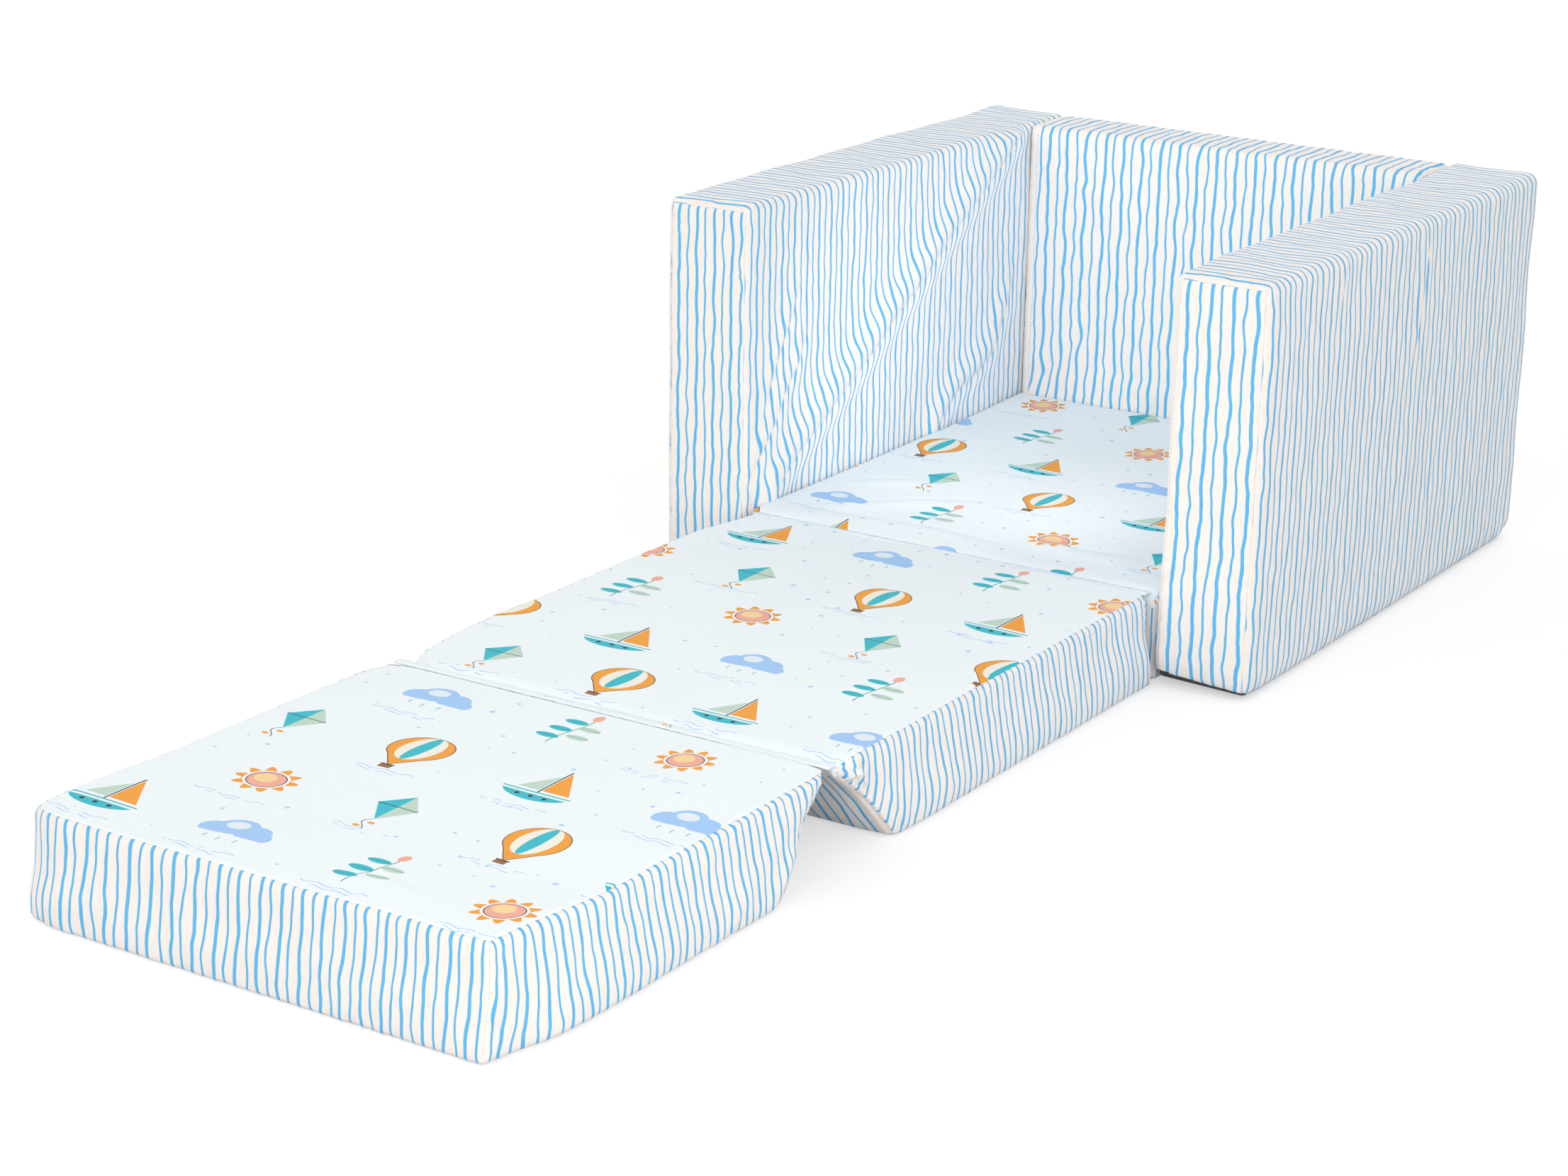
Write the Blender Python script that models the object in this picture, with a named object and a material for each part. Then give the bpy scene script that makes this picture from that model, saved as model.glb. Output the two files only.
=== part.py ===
"""Children's fold-out armchair: foam slabs in sewn cotton covers.

Two arms and a back stand round a seat pad. A middle pad and an end pad fold out in front of the seat.
Folded, the middle pad lies face down on the seat and the end pad stands against the back.
The chair faces -Y, +Z is up, X = 0 is its middle and the origin is under its middle on the floor.
"""

import math

import bmesh
import bpy
from mathutils import Matrix, Vector

# Driving sizes, in metres
INNER_WIDTH = 0.420
ARM_THICKNESS = 0.088
ARM_HEIGHT = 0.355
ARM_DEPTH = 0.585
BACK_THICKNESS = 0.077
PAD_THICKNESS = 0.079
END_LENGTH = 0.405

# Rounding and fullness of the foam
ARM_EDGE_RADIUS = 0.009
ARM_HEEL_RADIUS = 0.024
ARM_BELLY = 0.003
BACK_BELLY = 0.003
PAD_EDGE_RADIUS = 0.006
PAD_CROWN = 0.004
PAD_BELLY = 0.005
END_BELLY = 0.004

# Cloth, seams and clearances
COVER_THICKNESS = 0.0015
FOAM_CLEARANCE = 0.0004
SEAM_GAP = 0.0004
BLOCK_GAP = 0.0005
PAD_SIDE_CLEARANCE = 0.004
FOLD_CLEARANCE = 0.007
FOLD_AXIS_RISE = 0.0006
FOLD_SLOT = 0.004
FOLD_STRIP_CLEARANCE = 0.00035
FOLD_TAPE_THICKNESS = 0.0012
FOLD_WEB_DEPTH = 0.016
BASE_SEAM_HEIGHT = 0.007
TOP_SEAM_DROP = 0.0075
END_SEAM_INSET = 0.0035

# Zips
ZIP_TAPE_WIDTH = 0.022
ZIP_TAPE_THICKNESS = 0.0008
ZIP_TAPE_SINK = 0.0003
ZIP_CHAIN_WIDTH = 0.0045
ZIP_CHAIN_RISE = 0.0010
ZIP_SLIDER_LENGTH = 0.010
ZIP_SLIDER_WIDTH = 0.008
ZIP_SLIDER_RISE = 0.0018
ZIP_PULL_LENGTH = 0.022
ZIP_PULL_WIDTH = 0.005
ZIP_PULL_THICKNESS = 0.0008
ZIP_CLEARANCE = 0.0003
ARM_ZIP_MARGIN = 0.042
BACK_ZIP_MARGIN = 0.045
BACK_ZIP_HEIGHT = 0.034
PAD_ZIP_MARGIN = 0.045

# The end pad stands up from the folded middle pad by this angle, in degrees
END_FOLD = 90.0

# Places that follow from the sizes
SEAT_DEPTH = ARM_DEPTH - BACK_THICKNESS
MIDDLE_LENGTH = SEAT_DEPTH - FOLD_CLEARANCE
ZIP_STANDOFF = ZIP_CHAIN_RISE + ZIP_CLEARANCE + ZIP_SLIDER_RISE
FRONT_Y = (MIDDLE_LENGTH + END_LENGTH - ARM_DEPTH - ZIP_STANDOFF) / 2
REAR_Y = FRONT_Y + ARM_DEPTH
BACK_FRONT_Y = FRONT_Y + SEAT_DEPTH
END_FOLD_Y = FRONT_Y - MIDDLE_LENGTH
END_FRONT_Y = END_FOLD_Y - END_LENGTH
FOLD_AXIS_Z = PAD_THICKNESS + FOLD_AXIS_RISE
HALF_INNER = INNER_WIDTH / 2
HALF_OUTER = HALF_INNER + ARM_THICKNESS
HALF_PAD = HALF_INNER - PAD_SIDE_CLEARANCE
MITRE_SLOPE = math.tan(math.radians(END_FOLD / 2))
FOAM_INSET = COVER_THICKNESS + FOAM_CLEARANCE

STRIPE = ((0.93, 0.90, 0.86), 0.85)
PRINT = ((0.86, 0.93, 0.96), 0.80)
BASE_CLOTH = ((0.09, 0.09, 0.10), 0.95)
FOAM = ((0.93, 0.88, 0.66), 0.95)
ZIP_TAPE = ((0.90, 0.90, 0.88), 0.80)
ZIP_METAL = ((0.80, 0.81, 0.83), 0.40)


def clear_scene():
    for item in list(bpy.data.objects):
        bpy.data.objects.remove(item, do_unlink=True)


def new_collection(name):
    collection = bpy.data.collections.new(name)
    bpy.context.scene.collection.children.link(collection)
    return collection


def material(name, look):
    """A cloth, foam or zip finish, shared by every piece that has it."""
    found = bpy.data.materials.get(name)
    if found:
        return found
    colour, roughness = look
    made = bpy.data.materials.new(name)
    made.use_nodes = True
    shader = made.node_tree.nodes["Principled BSDF"]
    shader.inputs["Base Color"].default_value = (*colour, 1.0)
    shader.inputs["Roughness"].default_value = roughness
    shader.inputs["Metallic"].default_value = 0.0
    return made


def add_part(name, mesh, finish, pivot=None):
    """Put a mesh in the chair as a named piece. It turns with its pivot, an empty on a fold."""
    part = bpy.data.objects.new(name, mesh)
    parts.objects.link(part)
    mesh.materials.clear()
    mesh.materials.append(finish)
    if pivot:
        part.parent = pivot
        part.matrix_parent_inverse = pivot.matrix_world.inverted()
    return part


def add_cutter(name, mesh):
    cutter = bpy.data.objects.new(name, mesh)
    cutters.objects.link(cutter)
    cutter.hide_render = True
    cutter.display_type = "WIRE"
    return cutter


def cut(part, cutter, operation="DIFFERENCE"):
    boolean = part.modifiers.new(cutter.name, "BOOLEAN")
    boolean.operation = operation
    boolean.object = cutter


def add_pivot(name, place, parent=None):
    pivot = bpy.data.objects.new(name, None)
    parts.objects.link(pivot)
    pivot.location = place
    if parent:
        pivot.parent = parent
        pivot.location = Vector(place) - parent.location
    bpy.context.view_layer.update()
    return pivot


class Slab:
    """A foam block with rounded edges, given by its outer corners.

    front_lean and rear_lean say how far, per metre of depth, an end draws in below its top edge.
    fullness moves a point of the flat-sided block to where the stuffed block has it.
    """

    def __init__(self, low, high, cells, radii, fullness, front_lean=0.0, rear_lean=0.0):
        self.low = Vector(low)
        self.high = Vector(high)
        self.cells = cells
        self.radii = radii
        self.fullness = fullness
        self.front_lean = front_lean
        self.rear_lean = rear_lean

    def share(self, place):
        """Where a place lies in the block: -1 to 1 across and along, 0 to 1 up."""
        depth = self.high.z - place.z
        front = self.low.y + self.front_lean * depth
        rear = self.high.y - self.rear_lean * depth
        across = 2 * (place.x - self.low.x) / (self.high.x - self.low.x) - 1
        along = 2 * (place.y - front) / (rear - front) - 1
        up = 1 - depth / (self.high.z - self.low.z)
        return across, along, up

    def surface(self, place):
        """A point of the flat-sided block, moved to the stuffed block's surface."""
        place = Vector(place)
        return place + self.fullness(*self.share(place))

    def mesh(self, name, inset=0.0):
        """The closed block, drawn in by an inset on every side."""
        low = self.low + Vector((inset, inset, inset))
        high = self.high - Vector((inset, inset, inset))
        bm = bmesh.new()
        bmesh.ops.create_cube(bm, size=1.0)
        for axis, count in enumerate(self.cells):
            normal = Vector((axis == 0, axis == 1, axis == 2))
            for step in range(1, count):
                geometry = bm.verts[:] + bm.edges[:] + bm.faces[:]
                place = normal * (step / count - 0.5)
                bmesh.ops.bisect_plane(bm, geom=geometry, plane_co=place, plane_no=normal)
        for vert in bm.verts:
            share = vert.co + Vector((0.5, 0.5, 0.5))
            z = low.z + share.z * (high.z - low.z)
            depth = self.high.z - z
            front = self.low.y + self.front_lean * depth + inset * math.hypot(1, self.front_lean)
            rear = self.high.y - self.rear_lean * depth - inset * math.hypot(1, self.rear_lean)
            x = low.x + share.x * (high.x - low.x)
            vert.co = (x, front + share.y * (rear - front), z)
        bm.normal_update()
        for chosen, radius, segments in self.radii:
            sharp = [edge for edge in bm.edges if edge.calc_face_angle() > math.radians(40) and chosen(edge)]
            bmesh.ops.bevel(
                bm,
                geom=sharp,
                offset=max(radius - inset, COVER_THICKNESS),
                segments=segments,
                profile=0.5,
                affect="EDGES",
            )
        for vert in bm.verts:
            vert.co += self.fullness(*self.share(vert.co))
        bmesh.ops.triangulate(bm, faces=bm.faces, quad_method="FIXED")
        bmesh.ops.recalc_face_normals(bm, faces=bm.faces)
        return to_mesh(bm, name)


def to_mesh(bm, name):
    mesh = bpy.data.meshes.new(name)
    bm.to_mesh(mesh)
    bm.free()
    mesh.shade_smooth()
    mesh.set_sharp_from_angle(angle=math.radians(35))
    return mesh


def slice_mesh(mesh, name, planes):
    """The capped part of a closed mesh behind every plane, given as (point, outward normal)."""
    bm = bmesh.new()
    bm.from_mesh(mesh)
    for point, normal in planes:
        geometry = bm.verts[:] + bm.edges[:] + bm.faces[:]
        result = bmesh.ops.bisect_plane(
            bm, geom=geometry, dist=1e-7, plane_co=point, plane_no=normal, clear_outer=True
        )
        rim = [item for item in result["geom_cut"] if isinstance(item, bmesh.types.BMEdge)]
        bmesh.ops.edgeloop_fill(bm, edges=rim)
    bmesh.ops.recalc_face_normals(bm, faces=bm.faces)
    return to_mesh(bm, name)


def box_mesh(name, low, high, frame=None):
    """A box between two corners, in a frame of its own if one is given."""
    low = Vector(low)
    high = Vector(high)
    bm = bmesh.new()
    bmesh.ops.create_cube(bm, size=1.0)
    size = Matrix.Diagonal((*(high - low), 1.0))
    place = Matrix.Translation((low + high) / 2) @ size
    if frame:
        place = frame @ place
    bmesh.ops.transform(bm, matrix=place, verts=bm.verts)
    return to_mesh(bm, name)


def below(height):
    return Vector((0, 0, height)), Vector((0, 0, 1))


def above(height):
    return Vector((0, 0, height)), Vector((0, 0, -1))


def ahead_of(y):
    return Vector((0, y, 0)), Vector((0, 1, 0))


def behind(y):
    return Vector((0, y, 0)), Vector((0, -1, 0))


def add_foam_and_covers(name, slab, covers, pivot=None):
    """The foam core of a slab, and its cover cut into panels: (panel name, planes, finish) each."""
    add_part(f"{name}_foam", slab.mesh(f"{name}_foam", FOAM_INSET), material("foam", FOAM), pivot)
    hollow = add_cutter(f"{name}_hollow", slab.mesh(f"{name}_hollow", COVER_THICKNESS))
    outside = slab.mesh(f"{name}_outside")
    panels = {}
    for panel_name, planes, finish in covers:
        full_name = f"{name}_{panel_name}"
        panel = add_part(full_name, slice_mesh(outside, full_name, planes), finish, pivot)
        cut(panel, hollow)
        panels[panel_name] = panel
    bpy.data.meshes.remove(outside)
    return panels


def add_zip(name, panel, frame, length, pivot=None):
    """A zip set in a slot of a panel. Its frame has X along the zip, Y across it and Z out."""
    half_length = length / 2
    half_tape = ZIP_TAPE_WIDTH / 2
    half_chain = ZIP_CHAIN_WIDTH / 2
    slot_low = (-half_length - ZIP_CLEARANCE, -half_tape - ZIP_CLEARANCE, -2 * COVER_THICKNESS)
    slot_high = (half_length + ZIP_CLEARANCE, half_tape + ZIP_CLEARANCE, 2 * COVER_THICKNESS)
    cut(panel, add_cutter(f"{name}_slot", box_mesh(f"{name}_slot", slot_low, slot_high, frame)))

    tape_low = (-half_length, -half_tape, -ZIP_TAPE_SINK - ZIP_TAPE_THICKNESS)
    tape = box_mesh(f"{name}_zip", tape_low, (half_length, half_tape, -ZIP_TAPE_SINK), frame)
    zip_part = add_part(f"{name}_zip", tape, material("zip tape", ZIP_TAPE), pivot)
    chain_end = half_length - ZIP_TAPE_WIDTH / 2
    chain_low = (-chain_end, -half_chain, -ZIP_TAPE_SINK - ZIP_TAPE_THICKNESS / 2)
    chain = box_mesh(f"{name}_chain", chain_low, (chain_end, half_chain, ZIP_CHAIN_RISE), frame)
    cut(zip_part, add_cutter(f"{name}_chain", chain), "UNION")

    slider_low = (chain_end - ZIP_SLIDER_LENGTH, -ZIP_SLIDER_WIDTH / 2, ZIP_CHAIN_RISE + ZIP_CLEARANCE)
    slider_top = ZIP_STANDOFF
    slider = box_mesh(f"{name}_zip_slider", slider_low, (chain_end, ZIP_SLIDER_WIDTH / 2, slider_top), frame)
    slider_part = add_part(f"{name}_zip_slider", slider, material("zip metal", ZIP_METAL), pivot)
    pull_low = (slider_low[0] - ZIP_PULL_LENGTH, -ZIP_PULL_WIDTH / 2, slider_top - ZIP_PULL_THICKNESS)
    pull_high = (chain_end - ZIP_SLIDER_LENGTH / 2, ZIP_PULL_WIDTH / 2, slider_top - ZIP_PULL_THICKNESS / 4)
    pull = box_mesh(f"{name}_pull", pull_low, pull_high, frame)
    cut(slider_part, add_cutter(f"{name}_pull", pull), "UNION")


def all_edges(edge):
    return True


def build_arm(side_name, side):
    """One arm. side is -1 on the left as the sitter's photograph shows it, and 1 on the right."""
    inner = side * HALF_INNER
    outer = side * (HALF_OUTER - ARM_BELLY)

    def fullness(across, along, up):
        outward = max(0.0, side * across)
        swell = (1 - along ** 4) * (1 - (2 * up - 1) ** 4)
        return Vector((side * ARM_BELLY * outward * swell, 0, 0))

    def heel(edge):
        return all(vert.co.y > REAR_Y - 0.01 and vert.co.z < 0.01 for vert in edge.verts)

    slab = Slab(
        (min(inner, outer), FRONT_Y, 0),
        (max(inner, outer), REAR_Y, ARM_HEIGHT),
        (2, 4, 4),
        [(heel, ARM_HEEL_RADIUS, 4), (all_edges, ARM_EDGE_RADIUS, 2)],
        fullness,
    )
    half_gap = SEAM_GAP / 2
    front_seam = FRONT_Y + END_SEAM_INSET
    rear_seam = REAR_Y - END_SEAM_INSET
    upper = above(BASE_SEAM_HEIGHT + half_gap)
    stripe = material("striped cotton", STRIPE)
    panels = add_foam_and_covers(
        f"{side_name}_arm",
        slab,
        [
            ("cover", [upper, behind(front_seam + half_gap), ahead_of(rear_seam - half_gap)], stripe),
            ("front_panel", [upper, ahead_of(front_seam - half_gap)], stripe),
            ("rear_panel", [upper, behind(rear_seam + half_gap)], stripe),
            ("base_panel", [below(BASE_SEAM_HEIGHT - half_gap)], material("base cloth", BASE_CLOTH)),
        ],
    )
    middle = Vector(((inner + outer) / 2, REAR_Y, ARM_HEIGHT / 2))
    upright = Matrix(((0, -1, 0), (0, 0, 1), (-1, 0, 0))).to_4x4()
    length = ARM_HEIGHT - 2 * ARM_ZIP_MARGIN
    add_zip(f"{side_name}_arm", panels["rear_panel"], Matrix.Translation(middle) @ upright, length)


def build_back():
    """The back, between the arms, with a zip low on its rear face."""
    def fullness(across, along, up):
        rearward = max(0.0, along)
        swell = (1 - across ** 6) * (1 - (2 * up - 1) ** 2)
        return Vector((0, BACK_BELLY * rearward * swell, 0))

    half_gap = SEAM_GAP / 2
    slab = Slab(
        (-HALF_INNER + BLOCK_GAP, BACK_FRONT_Y, 0),
        (HALF_INNER - BLOCK_GAP, REAR_Y - BACK_BELLY, ARM_HEIGHT),
        (4, 2, 4),
        [(all_edges, ARM_EDGE_RADIUS, 2)],
        fullness,
    )
    panels = add_foam_and_covers(
        "back",
        slab,
        [
            ("cover", [above(BASE_SEAM_HEIGHT + half_gap)], material("striped cotton", STRIPE)),
            ("base_panel", [below(BASE_SEAM_HEIGHT - half_gap)], material("base cloth", BASE_CLOTH)),
        ],
    )
    place = slab.surface((0, slab.high.y, BACK_ZIP_HEIGHT))
    lying = Matrix(((1, 0, 0), (0, 0, 1), (0, -1, 0))).to_4x4()
    length = INNER_WIDTH - 2 * BACK_ZIP_MARGIN
    add_zip("back", panels["cover"], Matrix.Translation(place) @ lying, length)


def pad_covers(base_finish):
    """The three panels of a mattress pad: printed top, striped side band and base."""
    half_gap = SEAM_GAP / 2
    top_seam = PAD_THICKNESS - TOP_SEAM_DROP
    return [
        ("top_panel", [above(top_seam + half_gap)], material("printed cotton", PRINT)),
        (
            "side_band",
            [below(top_seam - half_gap), above(BASE_SEAM_HEIGHT + half_gap)],
            material("striped cotton", STRIPE),
        ),
        ("base_panel", [below(BASE_SEAM_HEIGHT - half_gap)], base_finish),
    ]


def crown(across, along, up, front_lean=0.0, rear_lean=0.0):
    """The top falls away towards the long sides, and a leaning end keeps its plane."""
    drop = PAD_CROWN * across ** 4 * up
    slide = drop * (front_lean * (1 - along) - rear_lean * (1 + along)) / 2
    return Vector((0, slide, -drop))


def build_seat():
    """The seat pad, which fills the space between the arms and the back."""
    front = FRONT_Y + FOLD_SLOT / 2
    rear = BACK_FRONT_Y - BLOCK_GAP
    slab = Slab(
        (-HALF_INNER + BLOCK_GAP, front, 0),
        (HALF_INNER - BLOCK_GAP, rear, PAD_THICKNESS),
        (4, 2, 2),
        [(all_edges, PAD_EDGE_RADIUS, 2)],
        crown,
    )
    add_foam_and_covers("seat", slab, pad_covers(material("base cloth", BASE_CLOTH)))


def side_swell(across, along, up):
    """The long sides stand out between the corners, most at half height."""
    return across * PAD_BELLY * (1 - (2 * up - 1) ** 2) * (1 - along ** 8)


def add_pad_zip(name, slab, band, pivot):
    """A zip along the left side of a pad, clear of its mitred end."""
    front = slab.low.y + slab.front_lean * PAD_THICKNESS + PAD_ZIP_MARGIN
    rear = slab.high.y - slab.rear_lean * PAD_THICKNESS - PAD_ZIP_MARGIN
    side = slab.surface((slab.low.x, (front + rear) / 2, PAD_THICKNESS / 2))
    outwards = Matrix(((0, 0, -1), (1, 0, 0), (0, -1, 0))).to_4x4()
    add_zip(name, band, Matrix.Translation(side) @ outwards, rear - front, pivot)


def build_middle(pivot):
    """The middle pad. Its front end is mitred, so that the end pad can stand up from it."""
    rear = FRONT_Y - FOLD_SLOT / 2
    front = END_FOLD_Y + FOLD_SLOT / 2

    def fullness(across, along, up):
        sideways = side_swell(across, along, up)
        return crown(across, along, up, front_lean=MITRE_SLOPE) + Vector((sideways, 0, 0))

    slab = Slab(
        (-HALF_PAD + PAD_BELLY, front, 0),
        (HALF_PAD - PAD_BELLY, rear, PAD_THICKNESS),
        (4, 4, 4),
        [(all_edges, PAD_EDGE_RADIUS, 2)],
        fullness,
        front_lean=MITRE_SLOPE,
    )
    stripe = material("striped cotton", STRIPE)
    panels = add_foam_and_covers("middle", slab, pad_covers(stripe), pivot)
    add_pad_zip("middle", slab, panels["side_band"], pivot)


def build_end(pivot):
    """The end pad, mitred at its rear end. Its free end is full and upright."""
    rear = END_FOLD_Y - FOLD_SLOT / 2
    front = END_FRONT_Y + END_BELLY

    def fullness(across, along, up):
        forward = max(0.0, -along) ** 2
        swell = (1 - across ** 8) * (1 - (2 * up - 1) ** 2)
        sideways = side_swell(across, along, up)
        swelling = Vector((sideways, -END_BELLY * forward * swell, 0))
        return crown(across, along, up, rear_lean=MITRE_SLOPE) + swelling

    slab = Slab(
        (-HALF_PAD + PAD_BELLY, front, 0),
        (HALF_PAD - PAD_BELLY, rear, PAD_THICKNESS),
        (4, 4, 4),
        [(all_edges, PAD_EDGE_RADIUS, 2)],
        fullness,
        rear_lean=MITRE_SLOPE,
    )
    stripe = material("striped cotton", STRIPE)
    panels = add_foam_and_covers("end", slab, pad_covers(stripe), pivot)
    add_pad_zip("end", slab, panels["side_band"], pivot)


def build_fold_strip(name, y, lean, pivot=None):
    """The sewn strip that two pads turn on: a flat tape between their top edges, over a web.

    lean is the angle, in degrees, by which the pads' ends draw in below their top edges. The tape keeps
    within the circle round the fold's axis that the rounded edges leave free, so it clears them at any
    angle. The web fills what is left between the pads' ends when they are closed on each other.
    """
    lean = math.radians(lean)
    face_distance = FOLD_SLOT / 2 * math.cos(lean) - FOLD_AXIS_RISE * math.sin(lean)
    half_web = face_distance - FOLD_STRIP_CLEARANCE
    edge_radius = PAD_EDGE_RADIUS * math.tan((math.pi / 2 - lean) / 2)
    edge_distance = math.hypot(FOLD_SLOT / 2 + PAD_EDGE_RADIUS, FOLD_AXIS_RISE + edge_radius)
    reach = edge_distance - edge_radius - FOLD_STRIP_CLEARANCE
    half_tape = math.sqrt(reach ** 2 - FOLD_TAPE_THICKNESS ** 2)
    half_length = HALF_PAD - PAD_BELLY - PAD_EDGE_RADIUS

    axis_frame = Matrix.Translation((0, y, FOLD_AXIS_Z))
    tape_low = (-half_length, -half_tape, -FOLD_TAPE_THICKNESS)
    tape = box_mesh(name, tape_low, (half_length, half_tape, 0), axis_frame)
    strip = add_part(name, tape, material("striped cotton", STRIPE), pivot)
    web_frame = axis_frame @ Matrix.Rotation(lean, 4, "X")
    web_low = (-half_length + SEAM_GAP, -half_web, -FOLD_WEB_DEPTH)
    web_high = (half_length - SEAM_GAP, half_web, -FOLD_TAPE_THICKNESS / 2)
    cut(strip, add_cutter(f"{name}_web", box_mesh(f"{name}_web", web_low, web_high, web_frame)), "UNION")


clear_scene()
parts = new_collection("Fold-out armchair")
cutters = new_collection("Cutters")
middle_pivot = add_pivot("middle_fold", (0, FRONT_Y, FOLD_AXIS_Z))
end_pivot = add_pivot("end_fold", (0, END_FOLD_Y, FOLD_AXIS_Z), middle_pivot)

build_arm("left", -1)
build_arm("right", 1)
build_back()
build_seat()
build_middle(middle_pivot)
build_end(end_pivot)
build_fold_strip("middle_fold_strip", FRONT_Y, 0)
build_fold_strip("end_fold_strip", END_FOLD_Y, END_FOLD / 2, middle_pivot)
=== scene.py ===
import itertools
import math

import bmesh
import bpy
import numpy as np
from mathutils import Matrix, Vector


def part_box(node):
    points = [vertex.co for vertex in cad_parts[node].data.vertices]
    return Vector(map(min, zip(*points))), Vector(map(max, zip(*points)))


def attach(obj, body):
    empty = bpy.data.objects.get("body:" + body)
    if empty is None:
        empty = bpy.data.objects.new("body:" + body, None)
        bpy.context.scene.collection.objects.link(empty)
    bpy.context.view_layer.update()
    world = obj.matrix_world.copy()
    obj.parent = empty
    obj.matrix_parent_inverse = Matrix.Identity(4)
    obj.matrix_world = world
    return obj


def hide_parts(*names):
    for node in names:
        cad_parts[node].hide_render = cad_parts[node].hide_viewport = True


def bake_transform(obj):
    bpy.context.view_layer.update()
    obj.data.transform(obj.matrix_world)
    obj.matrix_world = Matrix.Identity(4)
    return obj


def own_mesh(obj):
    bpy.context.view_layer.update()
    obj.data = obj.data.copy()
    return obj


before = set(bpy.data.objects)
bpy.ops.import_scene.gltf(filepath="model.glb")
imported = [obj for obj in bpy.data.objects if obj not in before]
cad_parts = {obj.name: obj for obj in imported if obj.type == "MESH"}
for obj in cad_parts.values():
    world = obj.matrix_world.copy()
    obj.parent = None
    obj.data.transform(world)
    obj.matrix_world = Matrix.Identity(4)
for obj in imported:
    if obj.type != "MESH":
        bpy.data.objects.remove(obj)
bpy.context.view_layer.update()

bl_info = {
    "name": "Fold-out children's armchair",
    "version": (1, 0, 0),
    "blender": (4, 5, 0),
    "location": "View3D > Sidebar > Armchair",
    "description": "Foam armchair in striped cotton with a printed fold-out mattress",
    "category": "Object",
}


def box_of(node):
    """Lowest and highest corner of a node of the frame, as arrays."""
    low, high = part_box(node)
    return np.array(low, float), np.array(high, float)


def tint(code):
    """Linear colour of a hex code."""
    values = [int(code[i:i + 2], 16) / 255 for i in (0, 2, 4)]
    return tuple(v / 12.92 if v <= 0.04045 else ((v + 0.055) / 1.055) ** 2.4 for v in values)


def number_property(name, text, value, **more):
    return bpy.props.FloatProperty(name=name, description=text, default=value, **more)


def length_property(name, text, value):
    return number_property(name, text, value, unit="LENGTH", precision=5)


def angle_property(name, text, degrees):
    return number_property(name, text, math.radians(degrees), unit="ROTATION")


def colour_property(name, text, code):
    return bpy.props.FloatVectorProperty(
        name=name, description=text, default=tint(code), subtype="COLOR", size=3, min=0.0, max=1.0)


class ArmchairCloth(bpy.types.PropertyGroup):
    stripe_pitch: length_property("Stripe pitch", "Distance from one stripe to the next", 0.0102)
    stripe_wide: length_property("Wide stripe", "Width of every other stripe", 0.0032)
    stripe_narrow: length_property("Narrow stripe", "Width of the stripes between", 0.0022)
    stripe_wave: length_property("Stripe wave", "How far a stripe wanders to each side", 0.0017)
    wave_length: length_property("Wave length", "Length of one wander of a stripe", 0.030)
    thread_pitch: length_property("Thread pitch", "Distance between two threads of the weave", 0.00045)
    motif_across: length_property("Motif spacing across", "Distance between two motifs of a row", 0.112)
    motif_along: length_property("Motif spacing along", "Distance between motif rows", 0.098)
    cream: colour_property("Cream", "Ground of the striped cotton", "FAF4EF")
    blue: colour_property("Stripe blue", "Printed stripe", "58BEF6")
    ice: colour_property("Ice white", "Ground of the printed cotton", "F2FBFF")
    teal: colour_property("Teal", "Motif colour", "35BFCF")
    orange: colour_property("Orange", "Motif colour", "F6A436")
    sage: colour_property("Sage", "Motif colour", "C3DDCD")
    sky: colour_property("Light blue", "Motif colour", "A5CEFB")
    coral: colour_property("Coral", "Motif colour", "F6B19C")
    navy: colour_property("Navy", "Fine lines of the motifs", "2B3042")
    grey: colour_property("Base grey", "Non-slip cloth under the arms and the back", "4A4D52")
    foam: colour_property("Foam", "Cut foam of the cores", "EFE3B4")
    thread: colour_property("Thread", "Sewing thread", "F3EDE6")


class ArmchairShape(bpy.types.PropertyGroup):
    cell: length_property("Mesh cell", "Largest cell of a padded form", 0.0036)
    fine_cell: length_property("Fine mesh cell", "Largest cell of the arms, which carry sharp folds", 0.0027)
    arm_radius: length_property("Arm edge radius", "Rounding of the arms and the back", 0.0075)
    heel_radius: length_property("Heel radius", "Rounding of the arms' lower rear edge", 0.024)
    pad_radius: length_property("Mattress edge radius", "Rounding of the mattress sections", 0.0065)
    foot_radius: length_property("Foot radius", "Rounding of the lower edges of mattress and back", 0.0035)
    arm_foot: length_property("Arm foot radius", "Rounding of the arms' lower edges", 0.008)
    fullness: length_property("Fullness", "How far a cover stands out beyond the foam's own size", 0.0022)
    lip_radius: length_property("Lip radius", "Reach of the rolled lip where a section meets a fold", 0.015)
    fold_radius: length_property("Fold radius", "Rounding of the edges beside a fold", 0.0036)
    panel_inset: length_property("Panel seam inset", "Seam of an end panel inside the arm's edge", 0.0035)
    base_seam: length_property("Base seam height", "Seam of the base cloth above the floor", 0.0012)
    foam_inset: length_property("Foam inset", "Foam block inside the cover", 0.0058)
    top_seam: length_property("Top seam inset", "Seam of the printed top inside the edge", 0.0024)
    groove: length_property("Seam groove", "Depth of a seam", 0.0009)
    pucker: length_property("Seam pucker", "Height of the gathers beside a seam", 0.0008)
    swell: length_property("Swell", "Farthest a point moves in the cloth simulation", 0.0024)
    pressure: number_property("Pressure", "Air pressure of the cloth simulation", 3.0)
    stitch: length_property("Stitch length", "Length of one stitch", 0.0026)
    stitch_gap: length_property("Stitch spacing", "Distance from one stitch to the next", 0.0036)
    thread: length_property("Thread radius", "Radius of the sewing thread", 0.00028)
    tooth: length_property("Zip tooth spacing", "Distance between the turns of a zip's coil", 0.0012)


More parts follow.
